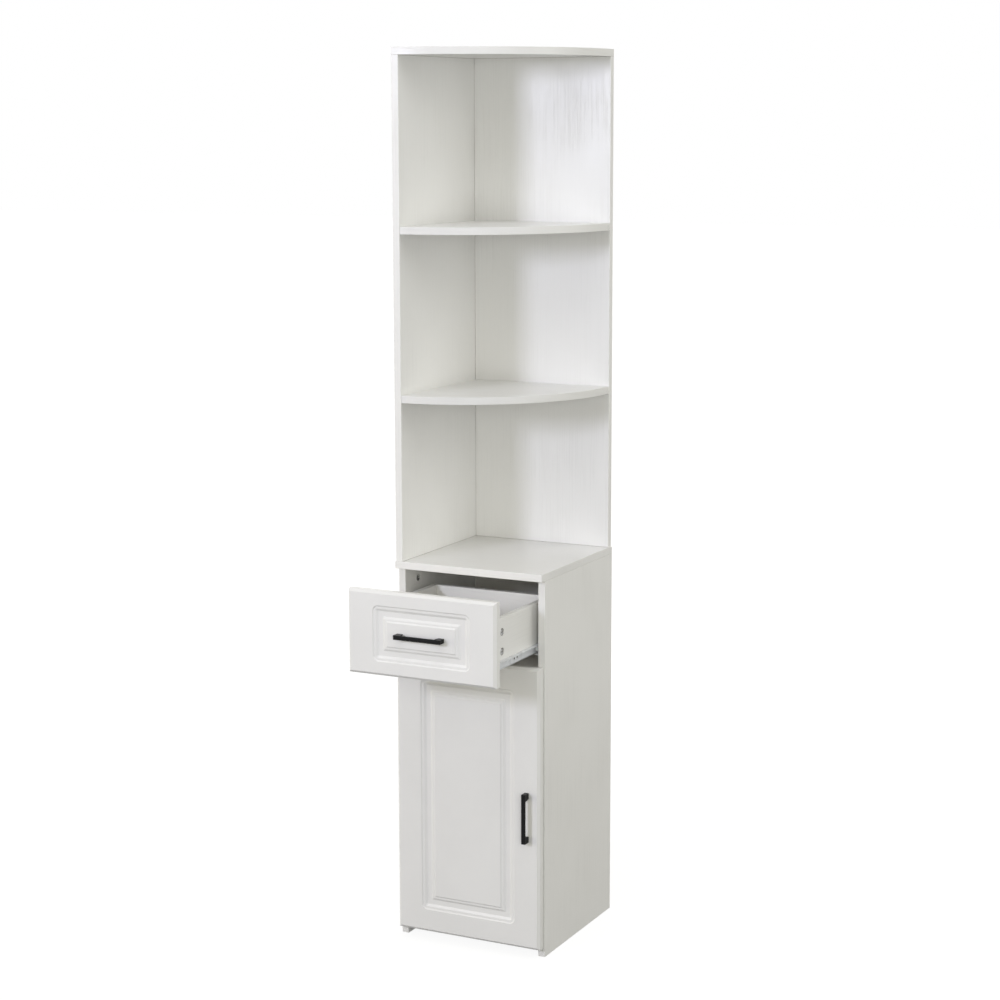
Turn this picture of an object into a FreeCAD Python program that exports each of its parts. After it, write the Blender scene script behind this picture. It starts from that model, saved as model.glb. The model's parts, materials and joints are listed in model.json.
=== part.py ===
import FreeCAD
import Part
import math
import os

# Tall cabinet for a room corner: a unit with a drawer and a door below, open quarter-round
# shelves above. Millimetres. The origin is the room corner on the floor: +X runs right along
# the back wall, -Y runs out into the room along the left wall, +Z is up.

# Boards of the lower unit
BOARD = 15.0
CARCASS_W = 327.0
SIDE_DEPTH = 322.0
SIDE_H = 771.0
MIDDLE_OVERHANG = 15.0
FOOT_H = 20.0
BACK_T = 5.0
BACK_RECESS = 10.0
GROOVE_DEPTH = 7.0
GROOVE_PLAY = 0.2
EDGE_EASE = 0.8

# Upper unit
UPPER_INSET = 2.0
LOW_BAY = 320.0
MID_BAY = 318.0
TOP_BAY = 331.0
SHELF_SETBACK = 1.5

# Loose shelf behind the door
INNER_SHELF_RISE = 262.0
INNER_SHELF_SETBACK = 20.0
INNER_SHELF_PLAY = 0.5
PIN_R = 2.5
PIN_IN = 8.0
PIN_OUT = 8.0
PIN_FROM_EDGE = 40.0

# Door and drawer front
FRONT_T = 18.0
FRONT_GAP = 2.0
SIDE_REVEAL = 2.8
TOP_REVEAL = 3.5
FRONT_SPLIT = 3.0
DOOR_BOTTOM = 18.0
DIVIDER_DROP = 3.5
DRAWER_FRONT_H = 167.0
STILE = 55.0
DOOR_RAIL = 47.5
DRAWER_RAIL = 28.0

# Moulded profile of the fronts, each band as its width and its drop or rise
EDGE_CHAMFER = 4.4
EDGE_STEP_W = 0.6
EDGE_STEP_D = 1.0
GROOVE_CORNER_R = 12.0
SHARP_CORNER_R = 0.8
STEP_W = 2.8
STEP_D = 1.6
LEDGE_W = 3.8
LEDGE_D = 0.4
COVE_W = 5.0
COVE_D = 2.6
FLOOR_W = 10.0
LOWER_BEVEL_W = 4.4
LOWER_BEVEL_RISE = 2.4
BAND_W = 3.2
BAND_RISE = 0.4
UPPER_BEVEL_W = 2.8
UPPER_BEVEL_RISE = 1.6

# Bar handles
HANDLE_L = 102.0
HANDLE_W = 8.8
HANDLE_REACH = 19.0
HANDLE_BAR_T = 4.5
HANDLE_FOOT = 12.0
HANDLE_TAPER = 3.0
HANDLE_CHAMFER = 1.8
DOOR_HANDLE_BELOW_TOP = 304.5
HANDLE_SCREW_R = 2.0
HANDLE_SCREW_HEAD_R = 4.0
HANDLE_SCREW_HEAD_H = 2.4
HANDLE_SCREW_GRIP = 9.0

# Drawer box
DRAWER_BOARD = 12.0
DRAWER_SIDE_H = 97.0
DRAWER_BACK_AIR = 19.0
DRAWER_REST_OPEN = 190.0
DRAWER_BOTTOM_T = 3.0
DRAWER_BOTTOM_RISE = 8.0
DRAWER_GROOVE_DEPTH = 6.0
DRAWER_GROOVE_PLAY = 0.2

# Roller runners of pressed sheet
RUNNER_SPACE = 12.5
RUNNER_T = 1.2
RUNNER_RISE = 29.5
RUNNER_BACK_AIR = 5.0
RUNNER_SETBACK = 2.0
RUNNER_LIP = 2.0
RUNNER_PASS_GAP = 1.4
RUNNER_SCREW_BAND = 10.0
RUNNER_SCREW_INSET = 40.0
ROLLER_R = 6.0
ROLLER_DROP = 1.0
ROLLER_HEADROOM = 1.2
ROLL_GAP = 0.3
ROLLER_SIDE_GAP = 1.8
ROLLER_END_GAP = 0.3
ROLLER_EASE = 0.6
ROLLER_FROM_END = 12.0
AXLE_R = 2.5
AXLE_HEAD_R = 3.5
AXLE_HEAD_T = 1.0
AXLE_HEAD_AIR = 0.7
AXLE_CLEARANCE = 0.05
RUNNER_HOLE_R = 2.6
RUNNER_PILOT_DEPTH = 5.5
RUNNER_HOLE_FROM_FRONT = 109.5
RUNNER_HOLE_PITCH = 12.3

# Concealed hinges
HINGE_FROM_END = 100.0
CUP_R = 17.5
CUP_DEPTH = 12.5
CUP_WALL = 1.0
CUP_EDGE = 4.0
CUP_FLANGE_T = 1.0
CUP_FLANGE_START = 10.0
CUP_FLANGE_END = 16.0
CUP_FLANGE_MARGIN = 6.0
CUP_SCREW_SPAN = 48.0
CUP_SCREW_OFFSET = 6.0
CUP_PIVOT_OFFSET = 10.3
CUP_PIVOT_DEPTH = 7.0
LINK_X = 23.0
LINK_Y = 14.0
LINK_BOW = 8.5
LINK_T = 2.2
LINK_HALF_H = 5.0
LINK_EYE_ARM_R = 3.2
LINK_EYE_CUP_R = 2.6
HINGE_PIN_R = 1.5
HINGE_PIN_CLEARANCE = 0.05
ARM_EAR_GAP = 0.2
ARM_EAR_T = 1.6
ARM_EAR_R = 3.6
ARM_HEIGHT = 10.0
ARM_NECK_SETBACK = 28.0
ARM_END_SETBACK = 62.0
ARM_FORK_DEPTH = 9.0
PLATE_T = 2.5
PLATE_LINE = 37.0
PLATE_WING_MARGIN = 8.0
PLATE_WING_W = 14.0
PLATE_SCREW_PITCH = 32.0
ARM_SCREW_SETBACK = 52.0

# Bumpers between the door and the right side panel
BUMPER_R = 4.0
BUMPER_AIR = 0.2
BUMPER_FROM_END = 25.0

# Cam fasteners, dowels and screws
CAM_R = 7.5
CAM_FLOOR = 2.5
CAM_SETBACK = 30.0
CAM_FROM_EDGE = 54.0
CAM_SLOT_L = 9.0
CAM_SLOT_W = 1.8
CAM_SLOT_D = 2.0
DRAWER_CAM_SETBACK = 58.5
DRAWER_CAM_LOW = 31.5
DRAWER_CAM_HIGH = 27.0
UPPER_CAM_FROM_EDGE = 100.0
BACK_CAM_FROM_END = 130.0
BOLT_R = 2.5
BOLT_HEAD_R = 3.0
BOLT_HEAD_L = 3.0
BOLT_THREAD_R = 3.0
BOLT_THREAD_L = 10.0
DOWEL_R = 4.0
DOWEL_IN_EDGE = 20.0
DOWEL_IN_FACE = 10.0
DOWEL_OFF_CENTRE = 25.0
SCREW_R = 1.75
SCREW_HEAD_R = 3.0
SCREW_HEAD_H = 1.2
SCREW_L = 11.0
SHORT_SCREW_L = 7.0
BACK_SCREW_L = 30.0
HARDWARE_FIT = 0.05
TOOL_OVERRUN = 1.0
SAME_PLANE = 1e-6

# Levels and faces that follow from the sizes above
SIDE_IN_L = BOARD
SIDE_IN_R = CARCASS_W - BOARD
SIDE_FRONT = -SIDE_DEPTH
MIDDLE_FRONT = SIDE_FRONT - MIDDLE_OVERHANG
MIDDLE_TOP = SIDE_H + BOARD
LOW_SHELF_Z = MIDDLE_TOP + LOW_BAY
HIGH_SHELF_Z = LOW_SHELF_Z + BOARD + MID_BAY
TOP_Z = HIGH_SHELF_Z + BOARD + TOP_BAY
UPPER_L = UPPER_INSET
UPPER_R = CARCASS_W - UPPER_INSET
UPPER_IN = UPPER_L + BOARD
BACK_FRONT = -BACK_RECESS - BACK_T
BOTTOM_TOP = FOOT_H + BOARD
INNER_SHELF_Z = BOTTOM_TOP + INNER_SHELF_RISE

FRONT_L = SIDE_REVEAL
FRONT_R = CARCASS_W - SIDE_REVEAL
FRONT_BACK = SIDE_FRONT - FRONT_GAP
FRONT_FACE = FRONT_BACK - FRONT_T
FRONT_MID = (FRONT_L + FRONT_R) / 2
DRAWER_FRONT_TOP = SIDE_H - TOP_REVEAL
DRAWER_FRONT_Z = DRAWER_FRONT_TOP - DRAWER_FRONT_H
DOOR_TOP = DRAWER_FRONT_Z - FRONT_SPLIT
DIVIDER_TOP = DOOR_TOP - DIVIDER_DROP
PANEL_DROP = STEP_D + LEDGE_D + COVE_D - LOWER_BEVEL_RISE - BAND_RISE - UPPER_BEVEL_RISE

RUN_Z = DIVIDER_TOP + RUNNER_RISE
DRAWER_AXLE_Z = RUN_Z + ROLLER_R - ROLLER_DROP
TRACK_Z = DRAWER_AXLE_Z - ROLLER_R - ROLL_GAP
GUARD_Z = DRAWER_AXLE_Z + ROLLER_R + ROLLER_HEADROOM
RUN_FLANGE_Z = GUARD_Z + RUNNER_T + RUNNER_PASS_GAP
RUN_TOP = RUN_FLANGE_Z + RUNNER_T
CABINET_AXLE_Z = RUN_FLANGE_Z - ROLL_GAP - ROLLER_R
CABINET_AXLE_Y = SIDE_FRONT + ROLLER_FROM_END
DRAWER_END = BACK_FRONT - DRAWER_BACK_AIR
DRAWER_AXLE_Y = DRAWER_END - ROLLER_FROM_END
RUNNER_FRONT = SIDE_FRONT + RUNNER_SETBACK
RUNNER_BACK = BACK_FRONT - RUNNER_BACK_AIR
RUNNER_SCREW_Z = RUN_TOP + RUNNER_SCREW_BAND / 2
ROLLER_S0 = RUNNER_T + ROLLER_SIDE_GAP
ROLLER_S1 = RUNNER_SPACE - RUNNER_T - 2 * ROLLER_END_GAP - AXLE_HEAD_T - AXLE_HEAD_AIR
DRAWER_L = SIDE_IN_L + RUNNER_SPACE
DRAWER_R = SIDE_IN_R - RUNNER_SPACE
DRAWER_BASE = RUN_Z + RUNNER_T
DRAWER_RIM = DRAWER_BASE + DRAWER_SIDE_H
DRAWER_BOTTOM_Z = DRAWER_BASE + DRAWER_BOTTOM_RISE

HINGE_Z = (DOOR_BOTTOM + HINGE_FROM_END, DOOR_TOP - HINGE_FROM_END)
CUP_X = FRONT_L + CUP_EDGE + CUP_R
CUP_PIVOT_X = CUP_X - CUP_PIVOT_OFFSET
CUP_PIVOT_Y = FRONT_BACK - CUP_PIVOT_DEPTH
ARM_PIVOT_X = CUP_PIVOT_X + LINK_X
ARM_PIVOT_Y = CUP_PIVOT_Y + LINK_Y
EAR_IN = LINK_HALF_H + ARM_EAR_GAP
EAR_OUT = EAR_IN + ARM_EAR_T
CUP_FLANGE_HALF = CUP_SCREW_SPAN / 2 + CUP_FLANGE_MARGIN
PLATE_WING_HALF = PLATE_SCREW_PITCH / 2 + PLATE_WING_MARGIN

X = FreeCAD.Vector(1, 0, 0)
Y = FreeCAD.Vector(0, 1, 0)
Z = FreeCAD.Vector(0, 0, 1)
SIDES = (("left", SIDE_IN_L, X), ("right", SIDE_IN_R, X * -1))

blanks = {}
tools = {}
hardware = {}


def at(x, y, z):
    return FreeCAD.Vector(x, y, z)


def block(x0, x1, y0, y1, z0, z1):
    """Rectangular solid between two values on each axis, in either order."""
    low = at(min(x0, x1), min(y0, y1), min(z0, z1))
    return Part.makeBox(abs(x1 - x0), abs(y1 - y0), abs(z1 - z0), low)


def rod(r, length, start, along):
    return Part.makeCylinder(r, length, start, along)


def stepped_rod(start, along, *stages):
    """Turned piece of (radius, length) stages, one after the other."""
    pieces = []
    for r, length in stages:
        pieces.append(rod(r, length, start, along))
        start = start + along * length
    return pieces[0].multiFuse(pieces[1:]).removeSplitter().Solids[0]


def plate(points, z0, z1):
    """Flat plate with a straight-sided outline in plan."""
    corners = [at(x, y, z0) for x, y in points]
    outline = Part.makePolygon(corners + corners[:1])
    return Part.Face(outline).extrude(Z * (z1 - z0))


def eased(board, thickness, *sides):
    """Board with the long edges of its banded sides rounded; a side is an axis and a value on it."""
    rims = []
    for edge in board.Edges:
        for axis, value in sides:
            level = all(abs(getattr(v, axis) - value) < SAME_PLANE for v in edge.Vertexes)
            if level and abs(edge.Length - thickness) > SAME_PLANE:
                rims.append(edge)
    return board.makeFillet(EDGE_EASE, rims).Solids[0]


def drill(panel, tool):
    tools.setdefault(panel, []).append(tool)


def add(node, solid):
    hardware.setdefault(node, []).append(solid)


def bored(r, length, mouth, along):
    """Drill that starts a little outside the mouth of its hole."""
    return rod(r, length + TOOL_OVERRUN, mouth - along * TOOL_OVERRUN, along)


# Fasteners


def cam_joint(node, cam_panel, bolt_panel, face, out, towards, reach, thickness):
    """Cam lock sunk into cam_panel at face, and the bolt that it draws out of bolt_panel."""
    depth = thickness - CAM_FLOOR
    axis = face - out * (thickness / 2)
    across = out.cross(towards)
    cam = rod(CAM_R, depth, face, out * -1)
    head_start = axis - towards * (BOLT_HEAD_L + HARDWARE_FIT)
    slot_length = BOLT_HEAD_L + CAM_R + TOOL_OVERRUN
    cam = cam.cut(rod(BOLT_HEAD_R + HARDWARE_FIT, slot_length, head_start, towards))
    for long_side, short_side in ((towards, across), (across, towards)):
        half = long_side * (CAM_SLOT_L / 2) + short_side * (CAM_SLOT_W / 2)
        low = face - half - out * CAM_SLOT_D
        high = face + half + out * TOOL_OVERRUN
        cam = cam.cut(block(low.x, high.x, low.y, high.y, low.z, high.z))
    add(node + "_locks", cam.Solids[0])
    shank = (BOLT_R, reach)
    thread = (BOLT_THREAD_R, BOLT_THREAD_L)
    head = (BOLT_HEAD_R, BOLT_HEAD_L)
    add(node + "_bolts", stepped_rod(axis - towards * BOLT_HEAD_L, towards, head, shank, thread))
    drill(cam_panel, bored(CAM_R + HARDWARE_FIT, depth + HARDWARE_FIT, face, out * -1))
    drill(cam_panel, rod(BOLT_HEAD_R + HARDWARE_FIT, reach + TOOL_OVERRUN, axis, towards))
    mouth = axis + towards * reach
    drill(bolt_panel, bored(BOLT_THREAD_R + HARDWARE_FIT, BOLT_THREAD_L + HARDWARE_FIT, mouth, towards))


def dowel(node, edge_panel, face_panel, joint, towards):
    """Wooden dowel from the edge of one board into the face of the next."""
    start = joint - towards * DOWEL_IN_EDGE
    add(node, rod(DOWEL_R, DOWEL_IN_EDGE + DOWEL_IN_FACE, start, towards))
    r = DOWEL_R + HARDWARE_FIT
    drill(edge_panel, bored(r, DOWEL_IN_EDGE + HARDWARE_FIT, joint, towards * -1))
    drill(face_panel, bored(r, DOWEL_IN_FACE + HARDWARE_FIT, joint, towards))


def screw(node, seat, along, length, passes=(), holds=None, head_r=SCREW_HEAD_R, head_h=SCREW_HEAD_H,
          r=SCREW_R):
    """Screw with its head on seat, through the panels in passes and into the panel that holds it."""
    add(node, stepped_rod(seat - along * head_h, along, (head_r, head_h), (r, length)))
    for panel in passes:
        drill(panel, bored(r + HARDWARE_FIT, length, seat, along))
    if holds:
        drill(holds, bored(r + HARDWARE_FIT, length + HARDWARE_FIT, seat, along))


# Boards of the lower unit


def lower_unit():
    front = ("Y", SIDE_FRONT)
    top = ("Z", SIDE_H)
    for hand, outer_x, inner_x in (("left", 0, SIDE_IN_L), ("right", CARCASS_W, SIDE_IN_R)):
        side = block(outer_x, inner_x, SIDE_FRONT, 0, 0, SIDE_H)
        blanks[hand + "_side_panel"] = eased(side, BOARD, front, top)
    inside = (SIDE_IN_L, SIDE_IN_R, SIDE_FRONT, BACK_FRONT)
    blanks["bottom_panel"] = eased(block(*inside, FOOT_H, BOTTOM_TOP), BOARD, front)
    blanks["divider_panel"] = eased(block(*inside, DIVIDER_TOP - BOARD, DIVIDER_TOP), BOARD, front)
    middle = block(0, CARCASS_W, MIDDLE_FRONT, 0, SIDE_H, MIDDLE_TOP)
    blanks["middle_board"] = eased(middle, BOARD, ("Y", MIDDLE_FRONT), ("X", 0), ("X", CARCASS_W))
    tongue = GROOVE_DEPTH - GROOVE_PLAY
    blanks["lower_back_panel"] = block(
        SIDE_IN_L - tongue, SIDE_IN_R + tongue, BACK_FRONT, -BACK_RECESS, FOOT_H, SIDE_H)
    groove_y = (BACK_FRONT, -BACK_RECESS + GROOVE_PLAY, FOOT_H, SIDE_H + TOOL_OVERRUN)
    drill("left_side_panel", block(SIDE_IN_L - GROOVE_DEPTH, SIDE_IN_L, *groove_y))
    drill("right_side_panel", block(SIDE_IN_R, SIDE_IN_R + GROOVE_DEPTH, *groove_y))

    front_y = SIDE_FRONT + CAM_FROM_EDGE
    middle_y = SIDE_FRONT / 2
    for hand, face_x, inward in SIDES:
        side = hand + "_side_panel"
        for y in (front_y, -CAM_FROM_EDGE):
            face = at(face_x, y, SIDE_H - CAM_SETBACK)
            cam_joint("carcass_cam", side, "middle_board", face, inward, Z, CAM_SETBACK, BOARD)
            for panel, underside in (("bottom_panel", FOOT_H), ("divider_panel", DIVIDER_TOP - BOARD)):
                face = at(face_x, y, underside) + inward * CAM_SETBACK
                cam_joint("carcass_cam", panel, side, face, Z * -1, inward * -1, CAM_SETBACK, BOARD)
        centre_x = face_x - inward.x * BOARD / 2
        dowel("carcass_dowels", side, "middle_board", at(centre_x, middle_y, SIDE_H), Z)
        for panel, underside in (("bottom_panel", FOOT_H), ("divider_panel", DIVIDER_TOP - BOARD)):
            joint = at(face_x, middle_y, underside + BOARD / 2)
            dowel("carcass_dowels", panel, side, joint, inward * -1)


def inner_shelf():
    front = SIDE_FRONT + INNER_SHELF_SETBACK
    back = BACK_FRONT - INNER_SHELF_PLAY
    shelf = block(SIDE_IN_L + INNER_SHELF_PLAY, SIDE_IN_R - INNER_SHELF_PLAY, front, back,
                  INNER_SHELF_Z, INNER_SHELF_Z + BOARD)
    blanks["cupboard_shelf"] = eased(shelf, BOARD, ("Y", front))
    for hand, face_x, inward in SIDES:
        for y in (front + PIN_FROM_EDGE, back - PIN_FROM_EDGE):
            mouth = at(face_x, y, INNER_SHELF_Z - PIN_R)
            add("shelf_pins", rod(PIN_R, PIN_IN + PIN_OUT, mouth - inward * PIN_IN, inward))
            hole = bored(PIN_R + HARDWARE_FIT, PIN_IN + HARDWARE_FIT, mouth, inward * -1)
            drill(hand + "_side_panel", hole)


# Open shelves of the upper unit


def quarter_round(left, back, reach_x, reach_y, z0):
    """Board with two straight edges and a front edge that is a quarter of an ellipse."""
    corner = at(left, back, z0)
    left_end = at(left, back - reach_y, z0)
    right_end = at(left + reach_x, back, z0)
    front = Part.BezierCurve()
    front.setPoles([left_end, at(left + reach_x, back - reach_y, z0), right_end])
    front.setWeight(2, math.sqrt(0.5))
    edges = [front.toShape(), Part.makeLine(right_end, corner), Part.makeLine(corner, left_end)]
    board = Part.Face(Part.Wire(edges)).extrude(Z * BOARD)
    rims = [edge for edge in board.Edges if not isinstance(edge.Curve, Part.Line)]
    return board.makeFillet(EDGE_EASE, rims).Solids[0]


def upper_unit():
    foot_and_head = (("Z", MIDDLE_TOP), ("Z", TOP_Z))
    left = block(UPPER_L, UPPER_IN, MIDDLE_FRONT, 0, MIDDLE_TOP, TOP_Z)
    blanks["upper_left_panel"] = eased(left, BOARD, ("Y", MIDDLE_FRONT), *foot_and_head)
    back = block(UPPER_IN, UPPER_R, -BOARD, 0, MIDDLE_TOP, TOP_Z)
    blanks["upper_back_panel"] = eased(back, BOARD, ("X", UPPER_IN), ("X", UPPER_R), *foot_and_head)
    blanks["curved_top_panel"] = quarter_round(UPPER_L, 0, UPPER_R - UPPER_L, -MIDDLE_FRONT, TOP_Z)
    shelf_x = UPPER_R - UPPER_IN - SHELF_SETBACK
    shelf_y = -MIDDLE_FRONT - BOARD - SHELF_SETBACK
    shelves = (("lower_curved_shelf", LOW_SHELF_Z), ("upper_curved_shelf", HIGH_SHELF_Z))
    for name, z in shelves:
        blanks[name] = quarter_round(UPPER_IN, -BOARD, shelf_x, shelf_y, z)

    left_ys = (MIDDLE_FRONT + UPPER_CAM_FROM_EDGE, -UPPER_CAM_FROM_EDGE)
    back_xs = (UPPER_IN + UPPER_CAM_FROM_EDGE, UPPER_R - UPPER_CAM_FROM_EDGE)
    ends = (("middle_board", MIDDLE_TOP, Z * -1), ("curved_top_panel", TOP_Z, Z))
    for board, z, towards in ends:
        cam_z = z - towards.z * CAM_SETBACK
        for y in left_ys:
            face = at(UPPER_L, y, cam_z)
            cam_joint("upper_cam", "upper_left_panel", board, face, X * -1, towards, CAM_SETBACK, BOARD)
        for x in back_xs:
            face = at(x, 0, cam_z)
            cam_joint("upper_cam", "upper_back_panel", board, face, Y, towards, CAM_SETBACK, BOARD)
        centre = at(UPPER_L + BOARD / 2, sum(left_ys) / 2 - DOWEL_OFF_CENTRE, z)
        dowel("upper_dowels", "upper_left_panel", board, centre, towards)
        dowel("upper_dowels", "upper_back_panel", board, at(sum(back_xs) / 2, -BOARD / 2, z), towards)

    for z in (MIDDLE_TOP + BACK_CAM_FROM_END, TOP_Z - BACK_CAM_FROM_END):
        face = at(UPPER_IN + CAM_SETBACK, 0, z)
        cam_joint("upper_cam", "upper_back_panel", "upper_left_panel", face, Y, X * -1, CAM_SETBACK, BOARD)

    for name, z in shelves:
        face = at(UPPER_IN + CAM_SETBACK, left_ys[0], z)
        cam_joint("shelf_cam", name, "upper_left_panel", face, Z * -1, X * -1, CAM_SETBACK, BOARD)
        for x in back_xs:
            face = at(x, -BOARD - CAM_SETBACK, z)
            cam_joint("shelf_cam", name, "upper_back_panel", face, Z * -1, Y, CAM_SETBACK, BOARD)


# Moulded fronts


def frame_wire(x0, x1, z0, z1, inset, r, y):
    """Rectangle in a vertical plane, drawn in by inset, with corners of radius r or sharp ones."""
    x0 = x0 + inset
    x1 = x1 - inset
    z0 = z0 + inset
    z1 = z1 - inset
    if r == 0:
        corners = [at(x0, y, z0), at(x1, y, z0), at(x1, y, z1), at(x0, y, z1)]
        return Part.makePolygon(corners + corners[:1])
    edges = []
    turns = ((x1, z0, 1, -1), (x1, z1, 1, 1), (x0, z1, -1, 1), (x0, z0, -1, -1))
    starts = []
    ends = []
    for index, (x, z, sx, sz) in enumerate(turns):
        centre = at(x - sx * r, y, z - sz * r)
        on_x = centre + X * (sx * r)
        on_z = centre + Z * (sz * r)
        middle = centre + (X * sx + Z * sz) * (r * math.sqrt(0.5))
        first, last = (on_z, on_x) if index % 2 == 0 else (on_x, on_z)
        starts.append(first)
        ends.append(last)
        edges.append(Part.Arc(first, middle, last).toShape())
    for index in range(len(turns)):
        nearest = starts[(index + 1) % len(turns)]
        edges.append(Part.makeLine(ends[index], nearest))
    return Part.Wire(Part.__sortEdges__(edges))


def moulding(x0, x1, z0, z1, profile):
    """Solid whose sides follow a profile of (inset, corner radius, y) rectangles."""
    wires = [frame_wire(x0, x1, z0, z1, inset, r, y) for inset, r, y in profile]
    return Part.makeLoft(wires, True, True).Solids[0]


def moulded_front(z0, z1, rail):
    """Front with an eased edge, a routed groove and a raised centre panel."""
    size = (FRONT_L, FRONT_R, z0, z1)
    chamfer_y = FRONT_FACE + EDGE_STEP_D + EDGE_CHAMFER
    step_y = FRONT_FACE + EDGE_STEP_D
    outline = [(0, 0, FRONT_BACK), (0, 0, chamfer_y), (EDGE_CHAMFER, 0, step_y),
               (EDGE_CHAMFER + EDGE_STEP_W, 0, FRONT_FACE)]
    front = moulding(*size, outline)

    groove = (FRONT_L + STILE, FRONT_R - STILE, z0 + rail, z1 - rail)
    inset = 0
    y = FRONT_FACE
    profile = [(0, GROOVE_CORNER_R, y - TOOL_OVERRUN), (0, GROOVE_CORNER_R, y)]
    for width, drop in ((STEP_W, STEP_D), (LEDGE_W, LEDGE_D), (COVE_W, COVE_D)):
        inset = inset + width
        y = y + drop
        profile.append((inset, max(GROOVE_CORNER_R - inset, SHARP_CORNER_R), y))
    front = front.cut(moulding(*groove, profile))

    inset = inset + FLOOR_W
    raised = [(inset, 0, y)]
    bevels = ((LOWER_BEVEL_W, LOWER_BEVEL_RISE), (BAND_W, BAND_RISE), (UPPER_BEVEL_W, UPPER_BEVEL_RISE))
    for width, rise in bevels:
        inset = inset + width
        y = y - rise
        raised.append((inset, 0, y))
    return front.fuse(moulding(*groove, raised)).removeSplitter().Solids[0]


def bar_handle(centre, along, across):
    """Square bar on two feet, standing out of a front towards -Y."""
    half = HANDLE_L / 2
    neck = HANDLE_REACH - HANDLE_BAR_T
    outline = ((-half, 0), (-half + HANDLE_FOOT, 0), (-half + HANDLE_FOOT + HANDLE_TAPER, neck),
               (half - HANDLE_FOOT - HANDLE_TAPER, neck), (half - HANDLE_FOOT, 0), (half, 0),
               (half, HANDLE_REACH), (-half, HANDLE_REACH))
    corner = centre - across * (HANDLE_W / 2)
    points = [corner + along * u - Y * reach for u, reach in outline]
    bar = Part.Face(Part.makePolygon(points + points[:1])).extrude(across * HANDLE_W)
    front_y = centre.y - HANDLE_REACH
    rim = [edge for edge in bar.Edges if all(abs(v.Y - front_y) < SAME_PLANE for v in edge.Vertexes)]
    return bar.makeChamfer(HANDLE_CHAMFER, rim).Solids[0]


def fit_handle(name, front, centre, along, across):
    bar = bar_handle(centre, along, across)
    spread = HANDLE_L / 2 - HANDLE_FOOT / 2
    for side in (-1, 1):
        seat = centre + along * (side * spread)
        seat.y = FRONT_BACK
        length = FRONT_BACK - centre.y + HANDLE_SCREW_GRIP
        hole = bored(HANDLE_SCREW_R + HARDWARE_FIT, length + HARDWARE_FIT, seat, Y * -1)
        bar = bar.cut(hole)
        screw(name + "_screws", seat, Y * -1, length, (front,), None,
              HANDLE_SCREW_HEAD_R, HANDLE_SCREW_HEAD_H, HANDLE_SCREW_R)
    add(name, bar.Solids[0])


# Drawer, drawn here pushed in


def drawer_box():
    blanks["drawer_front"] = moulded_front(DRAWER_FRONT_Z, DRAWER_FRONT_TOP, DRAWER_RAIL)
    inner_l = DRAWER_L + DRAWER_BOARD
    inner_r = DRAWER_R - DRAWER_BOARD
    rim = ("Z", DRAWER_RIM)
    side_yz = (FRONT_BACK, DRAWER_END, DRAWER_BASE, DRAWER_RIM)
    blanks["drawer_left_side"] = eased(block(DRAWER_L, inner_l, *side_yz), DRAWER_BOARD, rim)
    blanks["drawer_right_side"] = eased(block(inner_r, DRAWER_R, *side_yz), DRAWER_BOARD, rim)
    bottom_top = DRAWER_BOTTOM_Z + DRAWER_BOTTOM_T
    back = block(inner_l, inner_r, DRAWER_END - DRAWER_BOARD, DRAWER_END, bottom_top, DRAWER_RIM)
    blanks["drawer_back"] = eased(back, DRAWER_BOARD, rim)
    tongue = DRAWER_GROOVE_DEPTH - DRAWER_GROOVE_PLAY
    blanks["drawer_bottom"] = block(
        inner_l - tongue, inner_r + tongue, FRONT_BACK - tongue, DRAWER_END, DRAWER_BOTTOM_Z, bottom_top)
    groove = block(
        inner_l - DRAWER_GROOVE_DEPTH, inner_r + DRAWER_GROOVE_DEPTH, FRONT_BACK - DRAWER_GROOVE_DEPTH,
        DRAWER_END + TOOL_OVERRUN, DRAWER_BOTTOM_Z, bottom_top + DRAWER_GROOVE_PLAY)
    for panel in ("drawer_front", "drawer_left_side", "drawer_right_side"):
        drill(panel, groove)

    sides = (("drawer_left_side", DRAWER_L, X), ("drawer_right_side", DRAWER_R, X * -1))
    for side, face_x, inward in sides:
        for z in (DRAWER_BASE + DRAWER_CAM_LOW, DRAWER_RIM - DRAWER_CAM_HIGH):
            face = at(face_x, FRONT_BACK + DRAWER_CAM_SETBACK, z)
            cam_joint("drawer_cam", side, "drawer_front", face, inward * -1, Y * -1,
                      DRAWER_CAM_SETBACK, DRAWER_BOARD)
            seat = at(face_x, DRAWER_END - DRAWER_BOARD / 2, z) + inward * SCREW_HEAD_H
            screw("drawer_back_screws", seat, inward, BACK_SCREW_L, (side,), "drawer_back")
            drill(side, bored(SCREW_HEAD_R + HARDWARE_FIT, SCREW_HEAD_H, at(face_x, seat.y, z), inward))
    grip = at(FRONT_MID, FRONT_FACE + PANEL_DROP, (DRAWER_FRONT_Z + DRAWER_FRONT_TOP) / 2)
    fit_handle("drawer_handle", "drawer_front", grip, X, Z)


# Runners, each drawn from its cabinet side towards the drawer


def roller(axle_y, axle_z, face_x, inward):
    """Plain wheel with eased rims on a bore that runs on its axle."""
    start = at(face_x, axle_y, axle_z) + inward * ROLLER_S0
    width = ROLLER_S1 - ROLLER_S0
    wheel = rod(ROLLER_R, width, start, inward)
    rims = [edge for edge in wheel.Edges if edge.Closed and len(edge.Vertexes) == 1]
    wheel = wheel.makeChamfer(ROLLER_EASE, rims)
    bore = rod(AXLE_R + AXLE_CLEARANCE, width + 2 * TOOL_OVERRUN, start - inward * TOOL_OVERRUN, inward)
    return wheel.cut(bore).Solids[0]


def axle(start, along, web_t, wheel_start, wheel_end):
    """Rivet through a runner's web, with a collar before the wheel and a head behind it."""
    collar = wheel_start - ROLLER_END_GAP - web_t
    journal = wheel_end - wheel_start + 2 * ROLLER_END_GAP
    return stepped_rod(start, along, (AXLE_R, web_t), (AXLE_HEAD_R, collar), (AXLE_R, journal),
                       (AXLE_HEAD_R, AXLE_HEAD_T))


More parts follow.
